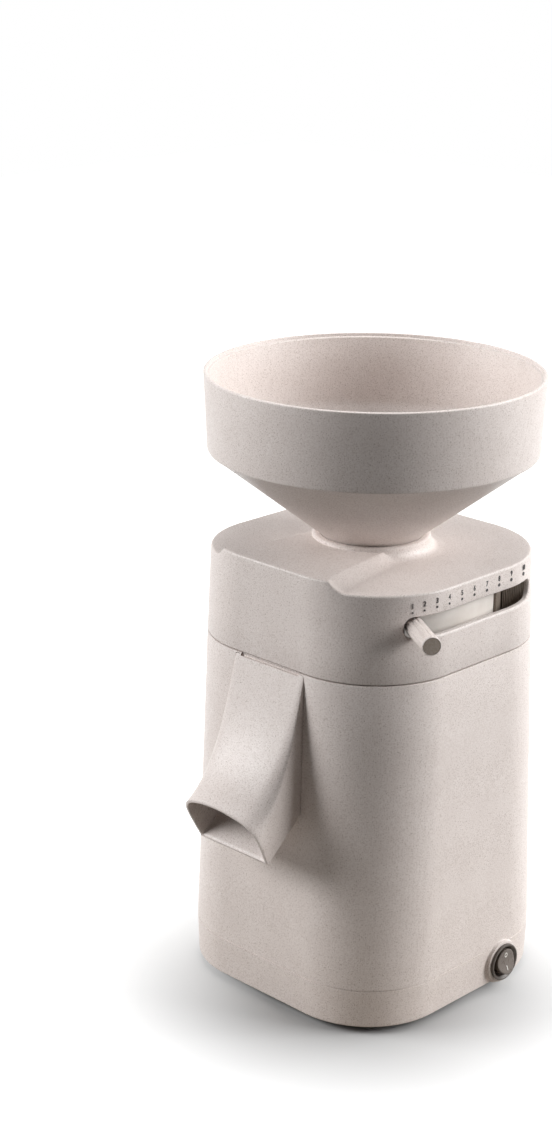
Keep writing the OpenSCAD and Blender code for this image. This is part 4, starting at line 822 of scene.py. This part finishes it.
gland_profile = [(6.0, 67.5), (6.15, 67.9)]
for turn in range(13):
    along = 1.15 * turn
    gland_profile += [(6.15, 68.2 + along), (5.75, 68.6 + along), (5.75, 68.75 + along),
                      (6.15, 69.15 + along)]
gland_profile += [(6.15, 83.9), (8.6, 83.9), (9, 84.3), (9, 85.95), (8.7, 86.3), (7.4, 86.34),
                  (7.3, 87), (6.3, 90.2), (5.8, 90.75), (4.5, 90.85), (3.85, 90.5), (3.65, 89.6),
                  (3.65, 67.9), (3.9, 67.5)]
cord_gland = ring_by_ring("gland", [at_cord(round_ring(radius, along)) for radius, along in gland_profile],
                          joined=True)
for degrees in (30, 90, 150):
    across, up = math.cos(math.radians(degrees)), math.sin(math.radians(degrees))
    slit_outline = [(across * u - up * v, up * u + across * v)
                    for u, v in ((-8, -0.35), (8, -0.35), (8, 0.35), (-8, 0.35))]
    slit = ring_by_ring("slit", [at_cord([(x, y, along) for x, y in slit_outline])
                                 for along in (86.9, 92)])
    add_or_cut(cord_gland, slit, "DIFFERENCE")
smooth(cord_gland, 30)
gland_nylon = satin_plastic("gland_nylon", shade(44, 43, 44), shade(36, 35, 36), 0.45)
finish_with(cord_gland, gland_nylon, "body", "cord_gland")
give(gland_nylon, "gland_nut")


# Terminals and capacitor: an ivory three-pole block, and a drawn aluminium can with two tabs.

give(satin_plastic("terminal_ivory", shade(226, 221, 206), shade(216, 210, 193), 0.32), "terminal_block")


def metal(name, colour, other, rough, grain, strength=0.12, deep=0.0001):
    """Bare or plated metal; grain says how closely its marks stand along x, y and z."""
    finish = Finish(name, colour, rough, 1.0)
    marks = finish.noise(1, 4, finish.stretched(*grain))
    finish.colour(finish.blend(finish.span(marks, 0.3, 0.7), colour, other))
    wear = finish.noise(1, 2, finish.stretched(*grain))
    finish.rough(finish.span(wear, 0.3, 0.7, rough - 0.07, rough + 0.1))
    finish.bump(marks, strength, deep)
    return finish.material


give(metal("drawn_can", shade(198, 200, 203), shade(182, 184, 188), 0.36, (600, 600, 25)), "capacitor")


# Motor: a pressed stack of sheets between two cast end shields, with varnished copper windings in
# its slots, two ball bearings, a die-cast rotor on a ground shaft and a nylon fan below.

give(metal("cast_aluminium", shade(196, 197, 199), shade(176, 178, 181), 0.52, (420, 420, 420), 0.35,
           0.0003), "upper_end_shield", "lower_end_shield", "milling_chamber", "lower_stone_carrier")
give(metal("pressed_sheets", shade(128, 130, 134), shade(92, 94, 98), 0.48, (15, 15, 2400), 0.5, 0.0004),
     "stator_core", "rotor_core")
give(metal("ground_steel", shade(206, 207, 209), shade(188, 190, 193), 0.24, (60, 60, 2600), 0.08),
     "motor_shaft", "upper_bearing", "lower_bearing")
give(satin_plastic("fan_nylon", shade(52, 51, 52), shade(43, 42, 43), 0.5), "cooling_fan")

wire_closeness = 7000
copper = Finish("varnished_copper", shade(186, 106, 58), 0.3, 1.0)
from_axis = copper.length(copper.stretched(1, 1, 0))
up_axis = copper.add("ShaderNodeSeparateXYZ", Vector=copper.place).outputs["Z"]
round_wires, upright_wires = [copper.calc("SINE", copper.calc("MULTIPLY", distance, wire_closeness), 0)
                              for distance in (from_axis, up_axis)]
wires = copper.calc("MAXIMUM", round_wires, upright_wires)
# Painted shade: the copper is darker in the grooves between the turns.
copper.colour(copper.blend(copper.span(wires, -0.2, 0.9), shade(112, 54, 26), shade(196, 116, 66)))
copper.bump(copper.calc("ADD", wires, copper.noise(300)), 0.6, 0.0003)
give(copper.material, "windings")


# Fastenings: zinc-plated screws, bolts, nuts, keeper ring and sheet plate, and black rubber bushes.

give(metal("zinc_plate", shade(196, 198, 201), shade(172, 176, 182), 0.33, (130, 130, 130), 0.1),
     "base_screws", "plate_screws", "shield_screws", "chamber_screws", "keeper_screws", "tie_bolts",
     "stone_nut", "ring_keeper")
give(metal("rolled_sheet", shade(190, 192, 195), shade(172, 175, 180), 0.38, (25, 900, 25)), "motor_plate")
give(satin_plastic("bush_rubber", shade(40, 39, 39), shade(32, 31, 31), 0.78), "plate_bushes")


# Mill: two bonded corundum stones with furrows, the upper one in a glass-filled carrier that the ring
# lifts, the lower one on the shaft with its wipers, and a felt seal in the chamber's floor.

stone = Finish("corundum", shade(206, 199, 188), 0.9)
grains = stone.cells(1300)
tint = stone.add("ShaderNodeSeparateColor", Color=grains.outputs["Color"]).outputs[0]
stone_colour = stone.blend(stone.span(tint, 0.1, 0.9), shade(176, 168, 157), shade(222, 217, 208))
dark_grains = stone.calc("MULTIPLY", stone.calc("GREATER_THAN", tint, 0.9), 0.6)
stone.colour(stone.blend(dark_grains, stone_colour, shade(120, 104, 92)))
stone.bump(stone.calc("ADD", grains.outputs["Distance"], stone.noise(700, 4)), 0.8, 0.0006)
give(stone.material, "upper_stone", "lower_stone")
give(satin_plastic("carrier_nylon", shade(222, 219, 212), shade(210, 206, 198), 0.5), "upper_stone_carrier")
felt = Finish("pressed_felt", shade(176, 162, 140), 1.0)
fibres = felt.noise(1, 8, felt.stretched(1400, 500, 900))
felt.colour(felt.blend(felt.span(fibres, 0.3, 0.7), shade(150, 136, 114), shade(190, 177, 155)))
felt.bump(fibres, 0.9, 0.0006)
give(felt.material, "shaft_seal")
give(metal("turned_rod", shade(206, 207, 209), shade(186, 188, 192), 0.28, (900, 900, 900), 0.06),
     "lever_arm")


# Studio: pale floor, white surroundings and four large soft lamps, one in front at the left, two
# behind at the right and one above, so that the corner towards the camera is the darkest.

def seen_rays(tree):
    """1 for rays that show the surroundings: from the camera, in a reflection or through glass."""
    rays = tree.nodes.new("ShaderNodeLightPath").outputs
    seen = rays["Is Camera Ray"]
    for name in ("Is Glossy Ray", "Is Transmission Ray"):
        either = tree.nodes.new("ShaderNodeMath")
        either.operation = "MAXIMUM"
        tree.links.new(seen, either.inputs[0])
        tree.links.new(rays[name], either.inputs[1])
        seen = either.outputs[0]
    return seen


# The floor looks white but for a soft shadow under the mill, partly the lamps' and partly painted
# where its glow fades out. The light it throws back is warm near the mill and fades further off.
bpy.ops.object.select_all(action="DESELECT")
bpy.ops.mesh.primitive_plane_add(size=5)
floor = bpy.context.object
floor.name = "floor"
paint = Finish("floor_paint", shade(246, 246, 246), 0.9)
seen_floor = seen_rays(paint.tree)
thrown_back = paint.blend(paint.span(paint.length(paint.place), 0.15, 0.45), (0.33, 0.285, 0.235, 1),
                          (0.01, 0.01, 0.01, 1))
paint.colour(paint.blend(seen_floor, thrown_back, (0.42, 0.42, 0.42, 1)))
# Painted shadow: the glow is left out near a point just in front of the mill and to its right, so the floor
# is darker there.
from_painted_shadow = paint.add("ShaderNodeVectorMath", {"operation": "SUBTRACT"}, _0=paint.place,
                        _1=(0.030, -0.034, 0)).outputs[0]
glow_past_painted_shadow = paint.span(paint.length(from_painted_shadow), 0.053, 0.19)
paint.shader.inputs["Emission Color"].default_value = (1, 1, 1, 1)
paint.tree.links.new(paint.calc("MULTIPLY", glow_past_painted_shadow, seen_floor), paint.shader.inputs["Emission Strength"])
floor.data.materials.append(paint.material)

world = bpy.data.worlds.new("surroundings")
bpy.context.scene.world = world
world.use_nodes = True
sky = world.node_tree
sky.nodes.clear()
dim = sky.nodes.new("ShaderNodeBackground")
dim.inputs["Strength"].default_value = 0.006
dim.inputs["Color"].default_value = (1, 0.8, 0.65, 1)
white = sky.nodes.new("ShaderNodeBackground")
white.inputs["Color"].default_value = (1, 1, 1, 1)
choose = sky.nodes.new("ShaderNodeMixShader")
sky.links.new(seen_rays(sky), choose.inputs[0])
sky.links.new(dim.outputs[0], choose.inputs[1])
sky.links.new(white.outputs[0], choose.inputs[2])
to_world = sky.nodes.new("ShaderNodeOutputWorld")
sky.links.new(choose.outputs[0], to_world.inputs["Surface"])


def soft_lamp(name, turn, rise, size, level):
    """A square lamp 2 m from the mill, turned by an angle from the front to the right and raised by
    another, in degrees. Level 1 shows a surface as its own colour."""
    away = 2.0
    turn, rise = math.radians(turn), math.radians(rise)
    towards = Vector((math.sin(turn) * math.cos(rise), -math.cos(turn) * math.cos(rise), math.sin(rise)))
    bpy.ops.object.light_add(type="AREA", location=Vector((0, 0, 0.2)) + towards * away)
    lamp = bpy.context.object
    lamp.name = name
    lamp.rotation_euler = (-towards).to_track_quat("-Z", "Y").to_euler()
    lamp.data.size = size
    lamp.data.energy = level * math.pi ** 2 * away ** 2


soft_lamp("lamp_left", -44, 24, 1.0, 0.99)
soft_lamp("lamp_right", 125, 22, 0.9, 0.82)
soft_lamp("lamp_back", 150, 34, 1.2, 0.6)
soft_lamp("lamp_above", 230, 80, 1.2, 0.5)

# The camera looks at the mill's middle from in front at the right and above, and is then panned a
# little to the left and rolled.
camera_turn, camera_far, camera_high = math.radians(41.83), 1.19657, 0.64069
pan, roll = math.radians(-2.41), math.radians(0.58)
stand = Vector((camera_far * math.sin(camera_turn), -camera_far * math.cos(camera_turn), camera_high))
look = (Vector((0, 0, 0.23657)) - stand).normalized()
to_right = look.cross(Vector((0, 0, 1))).normalized()
look = look * math.cos(pan) + to_right * math.sin(pan)
facing = look.to_track_quat("-Z", "Y").to_euler()
facing.rotate_axis("Z", roll)
bpy.ops.object.camera_add(location=stand, rotation=facing)
camera = bpy.context.object
camera.data.sensor_width = 36
camera.data.lens = 70.44
camera.data.clip_start = 0.05
camera.data.clip_end = 50
bpy.context.scene.camera = camera
bpy.context.scene.view_settings.view_transform = "Standard"
